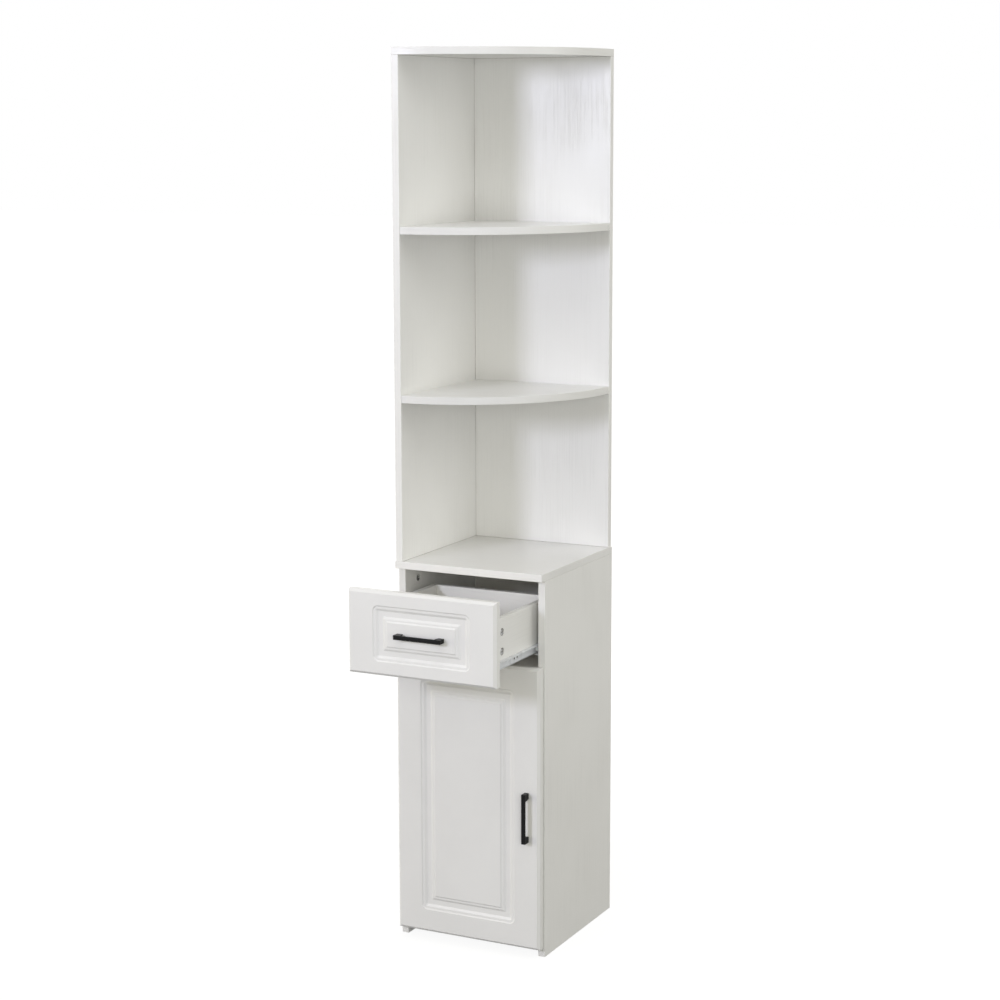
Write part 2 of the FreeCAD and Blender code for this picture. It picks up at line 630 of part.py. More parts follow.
def runners():
    for side, face_x, inward in SIDES:
        cabinet_runner(side, face_x, inward)
        drawer_runner(side, face_x, inward)


def cabinet_runner(side, face_x, inward):
    def strip(s0, s1, y0, y1, z0, z1):
        return block(face_x + inward.x * s0, face_x + inward.x * s1, y0, y1, z0, z1)

    name = side + "_cabinet_runner"
    web_top = RUN_TOP + RUNNER_SCREW_BAND
    web = strip(0, RUNNER_T, RUNNER_FRONT, RUNNER_BACK, TRACK_Z - RUNNER_T, web_top)
    track = strip(0, ROLLER_S1, RUNNER_FRONT, RUNNER_BACK, TRACK_Z - RUNNER_T, TRACK_Z)
    guard_front = CABINET_AXLE_Y + ROLLER_R + ROLLER_FROM_END / 2
    guard = strip(0, ROLLER_S1 - RUNNER_T, guard_front, RUNNER_BACK, GUARD_Z, GUARD_Z + RUNNER_T)
    blanks[name] = web.multiFuse([track, guard]).removeSplitter().Solids[0]
    middle = (RUNNER_FRONT + RUNNER_BACK) / 2
    for y in (RUNNER_FRONT + RUNNER_SCREW_INSET, middle, RUNNER_BACK - RUNNER_SCREW_INSET):
        seat = at(face_x, y, RUNNER_SCREW_Z) + inward * RUNNER_T
        screw("cabinet_runner_screws", seat, inward * -1, SCREW_L, (name,), side + "_side_panel")
    start = at(face_x, CABINET_AXLE_Y, CABINET_AXLE_Z)
    add("cabinet_roller_axles", axle(start, inward, RUNNER_T, ROLLER_S0, ROLLER_S1))
    drill(name, bored(AXLE_R + HARDWARE_FIT, RUNNER_T + TOOL_OVERRUN, start, inward))
    add(side + "_cabinet_roller", roller(CABINET_AXLE_Y, CABINET_AXLE_Z, face_x, inward))


def drawer_runner(side, face_x, inward):
    def strip(s0, s1, z0, z1):
        return block(face_x + inward.x * s0, face_x + inward.x * s1, FRONT_BACK, DRAWER_END, z0, z1)

    name = side + "_drawer_runner"
    web_s = RUNNER_SPACE - RUNNER_T
    web = strip(web_s, RUNNER_SPACE, RUN_Z, RUN_TOP)
    ledge = strip(web_s, RUNNER_SPACE + DRAWER_BOARD, RUN_Z, RUN_Z + RUNNER_T)
    lip = strip(web_s - RUNNER_LIP, web_s, RUN_Z, RUN_Z + RUNNER_T)
    flange = strip(ROLLER_S0, web_s, RUN_FLANGE_Z, RUN_TOP)
    blanks[name] = web.multiFuse([ledge, lip, flange]).removeSplitter().Solids[0]
    for step in (0, 1):
        y = FRONT_BACK + RUNNER_HOLE_FROM_FRONT + step * RUNNER_HOLE_PITCH
        mouth = at(face_x, y, (RUN_Z + RUN_TOP) / 2) + inward * web_s
        for panel in (name, "drawer_" + side + "_side"):
            drill(panel, bored(RUNNER_HOLE_R, RUNNER_T + RUNNER_PILOT_DEPTH, mouth, inward))
    screw_x = face_x + inward.x * (RUNNER_SPACE + DRAWER_BOARD / 2)
    for y in (FRONT_BACK + RUNNER_SCREW_INSET, DRAWER_END - RUNNER_SCREW_INSET):
        screw("drawer_runner_screws", at(screw_x, y, RUN_Z), Z, SHORT_SCREW_L, (name,),
              "drawer_" + side + "_side")
    start = at(face_x, DRAWER_AXLE_Y, DRAWER_AXLE_Z) + inward * RUNNER_SPACE
    wheel_start = RUNNER_SPACE - ROLLER_S1
    wheel_end = RUNNER_SPACE - ROLLER_S0
    add("drawer_roller_axles", axle(start, inward * -1, RUNNER_T, wheel_start, wheel_end))
    drill(name, bored(AXLE_R + HARDWARE_FIT, RUNNER_T + TOOL_OVERRUN, start, inward * -1))
    add(side + "_drawer_roller", roller(DRAWER_AXLE_Y, DRAWER_AXLE_Z, face_x, inward))


# Door and its concealed hinges


def door():
    blanks["door_panel"] = moulded_front(DOOR_BOTTOM, DOOR_TOP, DOOR_RAIL)
    grip = at(FRONT_R - STILE / 2, FRONT_FACE, DOOR_TOP - DOOR_HANDLE_BELOW_TOP)
    fit_handle("door_handle", "door_panel", grip, Z, X)
    for z in (DOOR_BOTTOM + BUMPER_FROM_END, DOOR_TOP - BUMPER_FROM_END):
        centre = at((SIDE_IN_R + FRONT_R) / 2, FRONT_BACK, z)
        add("door_bumpers", rod(BUMPER_R, FRONT_GAP - BUMPER_AIR, centre, Y))
    for z in HINGE_Z:
        hinge_cup(z)
        hinge_link(z)
        hinge_arm(z)


def hinge_cup(z):
    centre = at(CUP_X, FRONT_BACK, z)
    outer = rod(CUP_R, CUP_DEPTH, centre, Y * -1)
    flange_x = (CUP_X - CUP_FLANGE_START, CUP_X + CUP_FLANGE_END)
    flange_z = (z - CUP_FLANGE_HALF, z + CUP_FLANGE_HALF)
    flange = block(*flange_x, FRONT_BACK, FRONT_BACK + CUP_FLANGE_T, *flange_z)
    cup = outer.fuse(flange)
    hollow = rod(CUP_R - CUP_WALL, CUP_DEPTH - CUP_WALL + CUP_FLANGE_T,
                 centre + Y * CUP_FLANGE_T, Y * -1)
    cup = cup.cut(hollow)
    pin_half = math.sqrt((CUP_R - CUP_WALL / 2) ** 2 - CUP_PIVOT_OFFSET ** 2) - HINGE_PIN_R / 2
    pin_foot = at(CUP_PIVOT_X, CUP_PIVOT_Y, z - pin_half)
    add("hinge_cup_pins", rod(HINGE_PIN_R, 2 * pin_half, pin_foot, Z))
    cup = cup.cut(rod(HINGE_PIN_R + HARDWARE_FIT, 2 * pin_half, pin_foot, Z))
    for side in (-1, 1):
        seat = at(CUP_X + CUP_SCREW_OFFSET, FRONT_BACK + CUP_FLANGE_T, z + side * CUP_SCREW_SPAN / 2)
        cup = cup.cut(bored(SCREW_R + HARDWARE_FIT, CUP_FLANGE_T + TOOL_OVERRUN, seat, Y * -1))
        screw("hinge_cup_screws", seat, Y * -1, SCREW_L, (), "door_panel")
    add("hinge_cups", cup.removeSplitter().Solids[0])
    drill("door_panel", bored(CUP_R + HARDWARE_FIT, CUP_DEPTH + HARDWARE_FIT, centre, Y * -1))


def bowed_strip(start, end, bow, half_t, height):
    """Strip on edge whose plan is an arc that leaves the chord by bow."""
    chord = end - start
    side = at(-chord.y, chord.x, 0).normalize()
    radius = (chord.Length ** 2 / 4 + bow ** 2) / (2 * bow)
    centre = start + chord * 0.5 + side * (bow - radius)
    top = start + chord * 0.5 + side * bow

    def moved(point, offset):
        ray = (point - centre).normalize()
        return centre + ray * (radius + offset)

    outer = [moved(point, half_t) for point in (start, top, end)]
    inner = [moved(point, -half_t) for point in (start, top, end)]
    edges = [Part.Arc(*outer).toShape(), Part.makeLine(outer[2], inner[2]),
             Part.Arc(*reversed(inner)).toShape(), Part.makeLine(inner[0], outer[0])]
    return Part.Face(Part.Wire(edges)).extrude(Z * height)


def hinge_link(z):
    foot = z - LINK_HALF_H
    height = 2 * LINK_HALF_H
    arm_eye = at(ARM_PIVOT_X, ARM_PIVOT_Y, foot)
    cup_eye = at(CUP_PIVOT_X, CUP_PIVOT_Y, foot)
    link = bowed_strip(arm_eye, cup_eye, LINK_BOW, LINK_T / 2, height)
    eyes = [rod(LINK_EYE_ARM_R, height, arm_eye, Z), rod(LINK_EYE_CUP_R, height, cup_eye, Z)]
    link = link.multiFuse(eyes)
    for eye in (arm_eye, cup_eye):
        link = link.cut(rod(HINGE_PIN_R + HINGE_PIN_CLEARANCE, height, eye, Z))
    add("hinge_links", link.removeSplitter().Solids[0])


def hinge_arm(z):
    plate_x = SIDE_IN_L + PLATE_T
    arm_x = plate_x + ARM_HEIGHT
    neck_y = SIDE_FRONT + ARM_NECK_SETBACK
    end_y = SIDE_FRONT + ARM_END_SETBACK
    outline = ((plate_x, end_y), (plate_x, neck_y), (ARM_PIVOT_X - ARM_EAR_R, ARM_PIVOT_Y),
               (ARM_PIVOT_X + ARM_EAR_R, ARM_PIVOT_Y), (arm_x, neck_y), (arm_x, end_y))
    arm = plate(outline, z - EAR_OUT, z + EAR_OUT)
    pivot = at(ARM_PIVOT_X, ARM_PIVOT_Y, z - EAR_OUT)
    arm = arm.fuse(rod(ARM_EAR_R, 2 * EAR_OUT, pivot, Z))
    fork = block(SIDE_IN_L, ARM_PIVOT_X + 2 * ARM_EAR_R, ARM_PIVOT_Y - 2 * ARM_EAR_R,
                 ARM_PIVOT_Y + ARM_FORK_DEPTH, z - EAR_IN, z + EAR_IN)
    arm = arm.cut(fork)
    arm = arm.cut(rod(HINGE_PIN_R + HARDWARE_FIT, 2 * EAR_OUT, pivot, Z))
    add("hinge_arm_pins", rod(HINGE_PIN_R, 2 * EAR_OUT, pivot, Z))

    line_y = SIDE_FRONT + PLATE_LINE
    spine = block(SIDE_IN_L, plate_x, neck_y, end_y, z - EAR_OUT, z + EAR_OUT)
    wing = block(SIDE_IN_L, plate_x, line_y - PLATE_WING_W / 2, line_y + PLATE_WING_W / 2,
                 z - PLATE_WING_HALF, z + PLATE_WING_HALF)
    base = spine.fuse(wing).removeSplitter()
    for side in (-1, 1):
        seat = at(plate_x, line_y, z + side * PLATE_SCREW_PITCH / 2)
        base = base.cut(bored(SCREW_R + HARDWARE_FIT, PLATE_T + TOOL_OVERRUN, seat, X * -1))
        screw("hinge_plate_screws", seat, X * -1, SCREW_L, (), "left_side_panel")
    seat = at(arm_x, SIDE_FRONT + ARM_SCREW_SETBACK, z)
    hole = bored(SCREW_R + HARDWARE_FIT, ARM_HEIGHT + PLATE_T + TOOL_OVERRUN, seat, X * -1)
    screw("hinge_arm_screws", seat, X * -1, ARM_HEIGHT + PLATE_T)
    add("hinge_arms", arm.cut(hole).Solids[0])
    add("hinge_mount_plates", base.cut(hole).Solids[0])


def save(node, solids):
    shape = solids[0] if len(solids) == 1 else Part.makeCompound(solids)
    if node.startswith("drawer_") or node.endswith(("_drawer_runner", "_drawer_roller")):
        shape.translate(Y * -DRAWER_REST_OPEN)
    shape.exportStep("parts/" + node + ".step")
    return shape


def build():
    lower_unit()
    inner_shelf()
    upper_unit()
    drawer_box()
    runners()
    door()
    os.makedirs("parts", exist_ok=True)
    made = {}
    for name, blank in blanks.items():
        panel = blank.cut(tools[name]) if name in tools else blank
        made[name] = save(name, panel.removeSplitter().Solids)
    for name, solids in hardware.items():
        made[name] = save(name, solids)
    return made


parts = build()
for node, shape in sorted(parts.items()):
    state = "valid" if shape.isValid() else "INVALID"
    print(node, len(shape.Solids), "solids", round(shape.Volume), "mm3", state)
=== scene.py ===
import json
import math

import bmesh
import bpy
from mathutils import Matrix, Vector


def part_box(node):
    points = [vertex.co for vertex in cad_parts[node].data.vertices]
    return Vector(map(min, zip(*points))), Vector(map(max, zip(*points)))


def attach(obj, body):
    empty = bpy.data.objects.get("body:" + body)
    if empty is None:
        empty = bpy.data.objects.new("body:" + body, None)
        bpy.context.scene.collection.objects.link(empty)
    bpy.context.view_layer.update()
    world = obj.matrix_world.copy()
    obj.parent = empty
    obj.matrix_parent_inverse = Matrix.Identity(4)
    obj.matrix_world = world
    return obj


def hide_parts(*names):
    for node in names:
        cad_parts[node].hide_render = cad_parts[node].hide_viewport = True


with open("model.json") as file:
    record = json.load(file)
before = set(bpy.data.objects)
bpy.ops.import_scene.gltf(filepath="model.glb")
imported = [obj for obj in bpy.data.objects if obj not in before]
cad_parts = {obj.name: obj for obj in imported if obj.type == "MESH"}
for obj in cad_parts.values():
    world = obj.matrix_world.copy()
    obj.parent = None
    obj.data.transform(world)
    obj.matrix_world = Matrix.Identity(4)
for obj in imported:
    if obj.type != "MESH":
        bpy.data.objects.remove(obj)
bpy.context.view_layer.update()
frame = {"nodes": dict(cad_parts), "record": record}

MM = 0.001
NODES = frame["nodes"]
BODY_OF = {}
for body, members in frame["record"]["behaviour"]["bodies"].items():
    for member in members:
        BODY_OF[member] = body
SLOT_OF = {name: node.data.materials[0].name for name, node in NODES.items()}

# Camera
LENS_PIXELS = 2245.668
IMAGE_WIDTH = 1000
SENSOR_WIDTH = 36.0
CAMERA_REACH = 100.0
CAMERA_AT = Vector((2.177683, -4.203643, 1.658056))
CAMERA_TURN = math.radians(26.662)
CAMERA_DIP = math.radians(9.580)
CAMERA_ROLL = math.radians(-0.130)

# Floor and light. A softbox is its name, place, side in metres, watts and tint.
FLOOR_HALF = 30.0
FLOOR_TONE = (0.14, 0.14, 0.135)
FLOOR_GLOW_NEAR = 0.90
FLOOR_NEAR = 0.7
FLOOR_FAR = 2.4
AMBIENT = (0.468, 0.451, 0.402)
LIT_POINT = Vector((0.15, -0.2, 0.9))
SOFTBOXES = (
    ("key_softbox", (-1.5, -4.6, 2.2), 0.7, 74.0, (0.80, 0.815, 1.0)),
    ("left_softbox", (-3.5, -1.85, 0.75), 2.0, 49.0, (1.0, 0.94, 0.76)),
    ("right_softbox", (2.4, -3.4, 1.3), 1.6, 39.0, (0.985, 1.0, 0.98)),
    ("side_softbox", (3.0, 0.5, 1.9), 2.0, 21.0, (0.99, 1.0, 0.98)),
    ("top_softbox", (0.5, -1.2, 3.2), 1.4, 12.0, (0.92, 0.95, 1.0)),
    ("back_softbox", (-0.8, 3.6, 2.0), 2.6, 50.0, (1.0, 1.0, 1.0)),
)

# Tones of the finishes. A plated metal has its tone, its blotches and its rubbed edges.
WHITE_MELAMINE = (0.835, 0.830, 0.808)
MELAMINE_PORE = (0.808, 0.803, 0.781)
# Brown of raw chipboard in drilled holes, also painted into tight joints and gaps as shade
RAW_CORE_AND_SHADE = (0.20, 0.16, 0.11)
WHITE_FILM = (0.840, 0.836, 0.818)
FILM_SHADE = (0.815, 0.811, 0.793)
HARDBOARD_PAINT = (0.82, 0.80, 0.74)
HARDBOARD_PALE = (0.85, 0.83, 0.77)
POWDER_BLACK = (0.0045, 0.0045, 0.005)
POWDER_RUBBED = (0.020, 0.020, 0.021)
CAST_ZINC = ((0.50, 0.50, 0.49), (0.34, 0.34, 0.335), (0.70, 0.70, 0.69))
NICKEL = ((0.74, 0.72, 0.69), (0.64, 0.62, 0.59), (0.84, 0.83, 0.80))
# Painted shade for the hollows of plated metal, such as driver crosses and cam mouths
PAINTED_HOLLOW_SHADE = (0.012, 0.011, 0.010)
RUNNER_EPOXY = (0.66, 0.675, 0.70)
EPOXY_RUBBED = (0.56, 0.575, 0.60)
NYLON = (0.80, 0.80, 0.78)
NYLON_SHADE = (0.74, 0.74, 0.71)
BEECH = (0.58, 0.40, 0.24)
BEECH_PORE = (0.42, 0.26, 0.14)
CLEAR_PLASTIC = (0.92, 0.93, 0.93)
CLEAR_SHADE = (0.86, 0.88, 0.88)

# Colour sockets of a mix node
MIX_FIRST = 6
MIX_SECOND = 7
MIX_RESULT = 2

# Grain: directions across and along the pores. Their pitch, length and depth and the reach of the raw core
# and painted shade in holes and joints are in millimetres, and their drift is in pitches. A coat's slow waves
# are a share of its fineness.
UPRIGHT = ((1.0, 1.0, 0.0), (0.0, 0.0, 1.0))
LEVEL = ((0.0, 1.0, 10.0), (1.0, 0.0, 0.0))
FRONT_TO_BACK = ((0.1, 0.0, 1.0), (0.0, 1.0, 0.0))
DOWEL_GRAIN = ((1.0, 1.0, 1.0), (0.2, 0.2, 0.2))
LEVEL_BOARDS = ("bottom_panel", "divider_panel", "middle_board", "cupboard_shelf", "curved_top_panel",
                "lower_curved_shelf", "upper_curved_shelf")
PORE_PITCH = 2.8
PORE_LENGTH = 220.0
PORE_DRIFT = 2.4
UPRIGHT_EMBOSS = 0.17
LEVEL_EMBOSS = 0.12
DRAWER_EMBOSS = 0.04
BOARD_SHADE_REACH = 1.6
DRAWER_SHADE_REACH = 8.0
COAT_WAVE = 0.13

# Meshes, in metres
WELD_GAP = 2e-6
SMOOTH_ANGLE = math.radians(32)
EASE_ANGLE = math.radians(20)
METAL_EASE = 0.3 * MM
SHEET_EASE = 0.4 * MM
EASE_STEPS = 2
EASE_ROUND = 0.5
TURN_STEPS = 48

# Moulded fronts, in millimetres. A band of the routed groove is its width and how far it falls inward.
STILE = 55.0
DOOR_RAIL = 47.5
DRAWER_RAIL = 28.0
EDGE_CHAMFER = 4.4
EDGE_STEP_W = 0.6
EDGE_STEP_D = 1.0
GROOVE_BANDS = ((2.0, 1.7), (4.8, 0.2), (4.6, 2.7), (10.4, 0.0), (4.0, -2.5), (4.0, -0.2), (2.2, -1.7))
GROOVE_CORNER = 12.0
SHARP_CORNER = 0.8
EDGE_SOFTNESS = 0.5
MOULDING_SOFTNESS = 0.4
FLAT_MARGIN = 3.0
CORNER_STEPS = 8
BEND_STEPS = 4
BEND_SHARE = 0.45
CUP_R = 17.5
CUP_SETBACK = 4.0
CUP_BORE_R = 17.55
CUP_BORE_DEPTH = 12.55
CUTTER_OVERRUN = 1.0
BOTTOM_GROOVE_PLAY = 0.2

# Bar handles, in millimetres
HANDLE_FOOT = 12.0
HANDLE_TAPER = 3.0
HANDLE_BAR = 4.5
HANDLE_CHAMFER = 1.8
HANDLE_EASE = 0.4

# Fasteners, rollers and bumpers, in millimetres. A screw is its head's radius and height and its shank's
# radius. A dome is points of radius and drop, as shares of the whole.
CAM_GAP = 1.0
CAM_RIM = 0.3
CAM_FACE_H = 2.6
CAM_NECK_IN = 0.5
CAM_NECK_TOP = 3.0
CAM_NECK_FOOT = 2.0
CAM_FOOT_H = 1.6
CAM_CROSS_REACH = 4.8
CAM_CROSS_ARM = 1.25
CAM_CROSS_DEPTH = 2.6
CAM_MOUTH_IN = 3.3
CAM_MOUTH_DEPTH = 6.0
CAM_MOUTH_MIDDLE = math.radians(-45)
CAM_MOUTH_HALF = math.radians(72)
CAM_MOUTH_STEPS = 8
BOARD_SCREW = (3.0, 1.2, 1.75)
HANDLE_SCREW = (4.0, 2.4, 2.0)
SCREW_DOME = ((0.30, 0.0), (0.55, 0.09), (0.76, 0.25), (0.91, 0.5), (1.0, 0.85), (0.97, 1.0))
SCREW_TIP = 0.25
SCREW_CROSS_REACH = 0.55
SCREW_CROSS_ARM = 0.13
SCREW_CROSS_DEPTH = 0.75
THREAD_PITCH = 1.3
THREAD_DEPTH = 0.24
THREAD_CREST = 0.45
THREAD_FOOT = 0.6
WHEEL_BORE = 2.55
WHEEL_HUB = 3.4
WHEEL_WEB_IN = 0.9
WHEEL_RIM = 1.35
WHEEL_CROWN = 0.6
WHEEL_FLARE = 0.25
WHEEL_DRAFT = 0.2
WHEEL_EASE = 0.15
BUMPER_DOME = ((0.15, 0.0), (0.4, 0.05), (0.62, 0.17), (0.8, 0.35), (0.93, 0.6), (1.0, 0.88), (0.99, 1.0))


# Stage


def place_camera():
    """Camera at the viewing point, turned left, dipped and a little rolled."""
    data = bpy.data.cameras.new("photo_camera")
    data.sensor_width = SENSOR_WIDTH
    data.lens = LENS_PIXELS * SENSOR_WIDTH / IMAGE_WIDTH
    data.clip_end = CAMERA_REACH
    camera = bpy.data.objects.new("photo_camera", data)
    bpy.context.scene.collection.objects.link(camera)
    level = math.cos(CAMERA_DIP)
    forward = Vector((-math.sin(CAMERA_TURN) * level, math.cos(CAMERA_TURN) * level, -math.sin(CAMERA_DIP)))
    right = Vector((math.cos(CAMERA_TURN), math.sin(CAMERA_TURN), 0))
    up = right.cross(forward)
    rolled_right = right * math.cos(CAMERA_ROLL) + up * math.sin(CAMERA_ROLL)
    rolled_up = up * math.cos(CAMERA_ROLL) - right * math.sin(CAMERA_ROLL)
    turn = Matrix((rolled_right, rolled_up, -forward)).transposed()
    camera.matrix_world = Matrix.Translation(CAMERA_AT) @ turn.to_4x4()
    bpy.context.scene.camera = camera


def seen_directly(tree):
    """Mask of the rays that show the background: from the camera, mirrored or through glass."""
    path = tree.nodes.new("ShaderNodeLightPath")
    mask = path.outputs["Is Camera Ray"]
    for kind in ("Is Glossy Ray", "Is Transmission Ray"):
        either = tree.nodes.new("ShaderNodeMath")
        either.operation = "MAXIMUM"
        tree.links.new(mask, either.inputs[0])
        tree.links.new(path.outputs[kind], either.inputs[1])
        mask = either.outputs[0]
    return mask


def make_world():
    """Soft light from all round, with white behind the cabinet."""
    world = bpy.data.worlds.new("studio")
    bpy.context.scene.world = world
    world.use_nodes = True
    tree = world.node_tree
    tree.nodes.clear()
    soft = tree.nodes.new("ShaderNodeBackground")
    soft.inputs["Color"].default_value = (*AMBIENT, 1)
    white = tree.nodes.new("ShaderNodeBackground")
    white.inputs["Color"].default_value = (1, 1, 1, 1)
    mix = tree.nodes.new("ShaderNodeMixShader")
    tree.links.new(seen_directly(tree), mix.inputs[0])
    tree.links.new(soft.outputs[0], mix.inputs[1])
    tree.links.new(white.outputs[0], mix.inputs[2])
    out = tree.nodes.new("ShaderNodeOutputWorld")
    tree.links.new(mix.outputs[0], out.inputs["Surface"])


def make_floor():
    """Pale floor that takes the shadow and glows up to white further out."""
    mesh = bpy.data.meshes.new("floor")
    h = FLOOR_HALF
    mesh.from_pydata([(-h, -h, 0), (h, -h, 0), (h, h, 0), (-h, h, 0)], [], [(0, 1, 2, 3)])
    floor = bpy.data.objects.new("floor", mesh)
    bpy.context.scene.collection.objects.link(floor)
    material = bpy.data.materials.new("pale_floor")
    material.use_nodes = True
    tree = material.node_tree
    tree.nodes.clear()
    dull = tree.nodes.new("ShaderNodeBsdfDiffuse")
    dull.inputs["Color"].default_value = (*FLOOR_TONE, 1)
    place = tree.nodes.new("ShaderNodeTexCoord")
    away = tree.nodes.new("ShaderNodeVectorMath")
    away.operation = "LENGTH"
    tree.links.new(place.outputs["Object"], away.inputs[0])
    spread = tree.nodes.new("ShaderNodeMapRange")
    spread.interpolation_type = "SMOOTHSTEP"
    spread.inputs["From Min"].default_value = FLOOR_NEAR
    spread.inputs["From Max"].default_value = FLOOR_FAR
    spread.inputs["To Min"].default_value = FLOOR_GLOW_NEAR
    tree.links.new(away.outputs["Value"], spread.inputs["Value"])
    glow = tree.nodes.new("ShaderNodeEmission")
    tree.links.new(spread.outputs["Result"], glow.inputs["Strength"])
    both = tree.nodes.new("ShaderNodeAddShader")
    tree.links.new(dull.outputs[0], both.inputs[0])
    tree.links.new(glow.outputs[0], both.inputs[1])
    mix = tree.nodes.new("ShaderNodeMixShader")
    tree.links.new(seen_directly(tree), mix.inputs[0])
    tree.links.new(dull.outputs[0], mix.inputs[1])
    tree.links.new(both.outputs[0], mix.inputs[2])
    out = tree.nodes.new("ShaderNodeOutputMaterial")
    tree.links.new(mix.outputs[0], out.inputs["Surface"])
    mesh.materials.append(material)


def hang_softboxes():
    """Square lamps that face the middle of the cabinet and stay out of the picture."""
    for name, place, side, watts, tint in SOFTBOXES:
        data = bpy.data.lights.new(name, "AREA")
        data.shape = "SQUARE"
        data.size = side
        data.energy = watts
        data.color = tint
        lamp = bpy.data.objects.new(name, data)
        bpy.context.scene.collection.objects.link(lamp)
        lamp.location = place
        lamp.rotation_mode = "QUATERNION"
        lamp.rotation_quaternion = (LIT_POINT - Vector(place)).to_track_quat("-Z", "Y")
        lamp.visible_camera = False


# Shared surface effects, each a node group


class Effect:
    """Node group in the making, with named sockets."""

    def __init__(self, name, inputs, outputs):
        self.tree = bpy.data.node_groups.new(name, "ShaderNodeTree")
        for socket, value in inputs.items():
            kind = "NodeSocketVector" if isinstance(value, tuple) else "NodeSocketFloat"
            made = self.tree.interface.new_socket(socket, in_out="INPUT", socket_type=kind)
            made.default_value = value
        for socket in outputs:
            self.tree.interface.new_socket(socket, in_out="OUTPUT", socket_type="NodeSocketFloat")
        self.inputs = self.tree.nodes.new("NodeGroupInput").outputs
        self.outputs = self.tree.nodes.new("NodeGroupOutput").inputs

    def node(self, kind, **settings):
        made = self.tree.nodes.new(kind)
        for key, value in settings.items():
            setattr(made, key, value)
        return made

    def feed(self, socket, value):
        if isinstance(value, bpy.types.NodeSocket):
            self.tree.links.new(value, socket)
        else:
            socket.default_value = value

    def math(self, operation, a, b=0.0):
        made = self.node("ShaderNodeMath", operation=operation)
        self.feed(made.inputs[0], a)
        self.feed(made.inputs[1], b)
        return made.outputs[0]

    def dot(self, a, b):
        made = self.node("ShaderNodeVectorMath", operation="DOT_PRODUCT")
        self.feed(made.inputs[0], a)
        self.feed(made.inputs[1], b)
        return made.outputs["Value"]

    def vector(self, x, y):
        made = self.node("ShaderNodeCombineXYZ")
        self.feed(made.inputs["X"], x)
        self.feed(made.inputs["Y"], y)
        return made.outputs["Vector"]

    def noise(self, vector, scale, detail, roughness=0.5):
        made = self.node("ShaderNodeTexNoise")
        self.feed(made.inputs["Vector"], vector)
        self.feed(made.inputs["Scale"], scale)
        made.inputs["Detail"].default_value = detail
        made.inputs["Roughness"].default_value = roughness
        return made.outputs["Fac"]

    def span(self, value, start, end, base=0.0):
        """Smooth rise from the base to 1 while the value goes from start to end."""
        made = self.node("ShaderNodeMapRange", interpolation_type="SMOOTHSTEP")
        self.feed(made.inputs["Value"], value)
        made.inputs["From Min"].default_value = start
        made.inputs["From Max"].default_value = end
        made.inputs["To Min"].default_value = base
        return made.outputs["Result"]

    def blend(self, first, second, share):
        """Sum of two values, the first by its share and the second by the rest."""
        return self.math("ADD", self.math("MULTIPLY", first, share), self.math("MULTIPLY", second, 1 - share))

    def place(self):
        return self.node("ShaderNodeTexCoord").outputs["Object"]


def embossed_grain():
    """Fine pressed pores of a melamine board, long along the grain and patchy."""
    pitch = PORE_PITCH * MM
    length = PORE_LENGTH * MM
    inputs = {"Across": UPRIGHT[0], "Along": UPRIGHT[1], "Pore Pitch": pitch, "Pore Length": length}
    e = Effect("embossed_grain", inputs, ("Height", "Pore", "Cloud"))
    place = e.place()
    cloud = e.noise(place, scale=6.0, detail=3.0)
    drift = e.noise(place, scale=4.0, detail=1.0)
    across = e.math("DIVIDE", e.dot(place, e.inputs["Across"]), e.inputs["Pore Pitch"])
    across = e.math("ADD", across, e.math("MULTIPLY", drift, PORE_DRIFT))
    along = e.math("DIVIDE", e.dot(place, e.inputs["Along"]), e.inputs["Pore Length"])
    broad = e.noise(e.vector(across, along), scale=1.0, detail=2.0, roughness=0.55)
    fine = e.noise(e.vector(across, along), scale=2.7, detail=2.0, roughness=0.6)
    streak = e.blend(broad, fine, share=0.65)
    patch = e.span(cloud, start=0.36, end=0.64, base=0.35)
    pore = e.math("MULTIPLY", e.span(streak, start=0.50, end=0.60), patch)
    e.feed(e.outputs["Height"], e.math("SUBTRACT", 1.0, pore))
    e.feed(e.outputs["Pore"], pore)
    e.feed(e.outputs["Cloud"], cloud)
    return e.tree


def coat_texture():
    """Fine skin of a film, paint or powder coat, with slow changes of gloss."""
    e = Effect("coat_texture", {"Fineness": 900.0, "Spread": 9.0}, ("Height", "Gloss"))
    place = e.place()
    coarse = e.math("MULTIPLY", e.inputs["Fineness"], COAT_WAVE)
    skin = e.noise(place, scale=e.inputs["Fineness"], detail=2.0, roughness=0.6)
    wave = e.noise(place, scale=coarse, detail=1.0)
    haze = e.noise(place, scale=e.inputs["Spread"], detail=4.0, roughness=0.6)
    e.feed(e.outputs["Height"], e.blend(skin, wave, share=0.6))
    e.feed(e.outputs["Gloss"], e.span(haze, start=0.3, end=0.7))
    return e.tree


def edge_rub():
    """Mask of the arrises, broken up as hands and cloths rub them."""
    e = Effect("edge_rub", {"Width": 0.8 * MM, "Break Up": 260.0}, ("Rub",))
    rounded = e.node("ShaderNodeBevel", samples=4)
    e.feed(rounded.inputs["Radius"], e.inputs["Width"])
    flat = e.node("ShaderNodeNewGeometry")
    same = e.dot(rounded.outputs["Normal"], flat.outputs["Normal"])
    edge = e.span(e.math("SUBTRACT", 1.0, same), start=0.02, end=0.18)
    smudge = e.noise(e.place(), scale=e.inputs["Break Up"], detail=3.0, roughness=0.6)
    e.feed(e.outputs["Rub"], e.math("MULTIPLY", edge, e.span(smudge, start=0.38, end=0.66)))
    return e.tree


def painted_recess_shade():
    """Mask of painted shade for holes, slots and tight joints, where light hardly reaches."""
    e = Effect("painted_recess_shade", {"Reach": 2.0 * MM}, ("Shade",))
    open_sky = e.node("ShaderNodeAmbientOcclusion", samples=8)
    e.feed(open_sky.inputs["Distance"], e.inputs["Reach"])
    e.feed(e.outputs["Shade"], e.span(open_sky.outputs["AO"], start=0.55, end=0.15))
    return e.tree


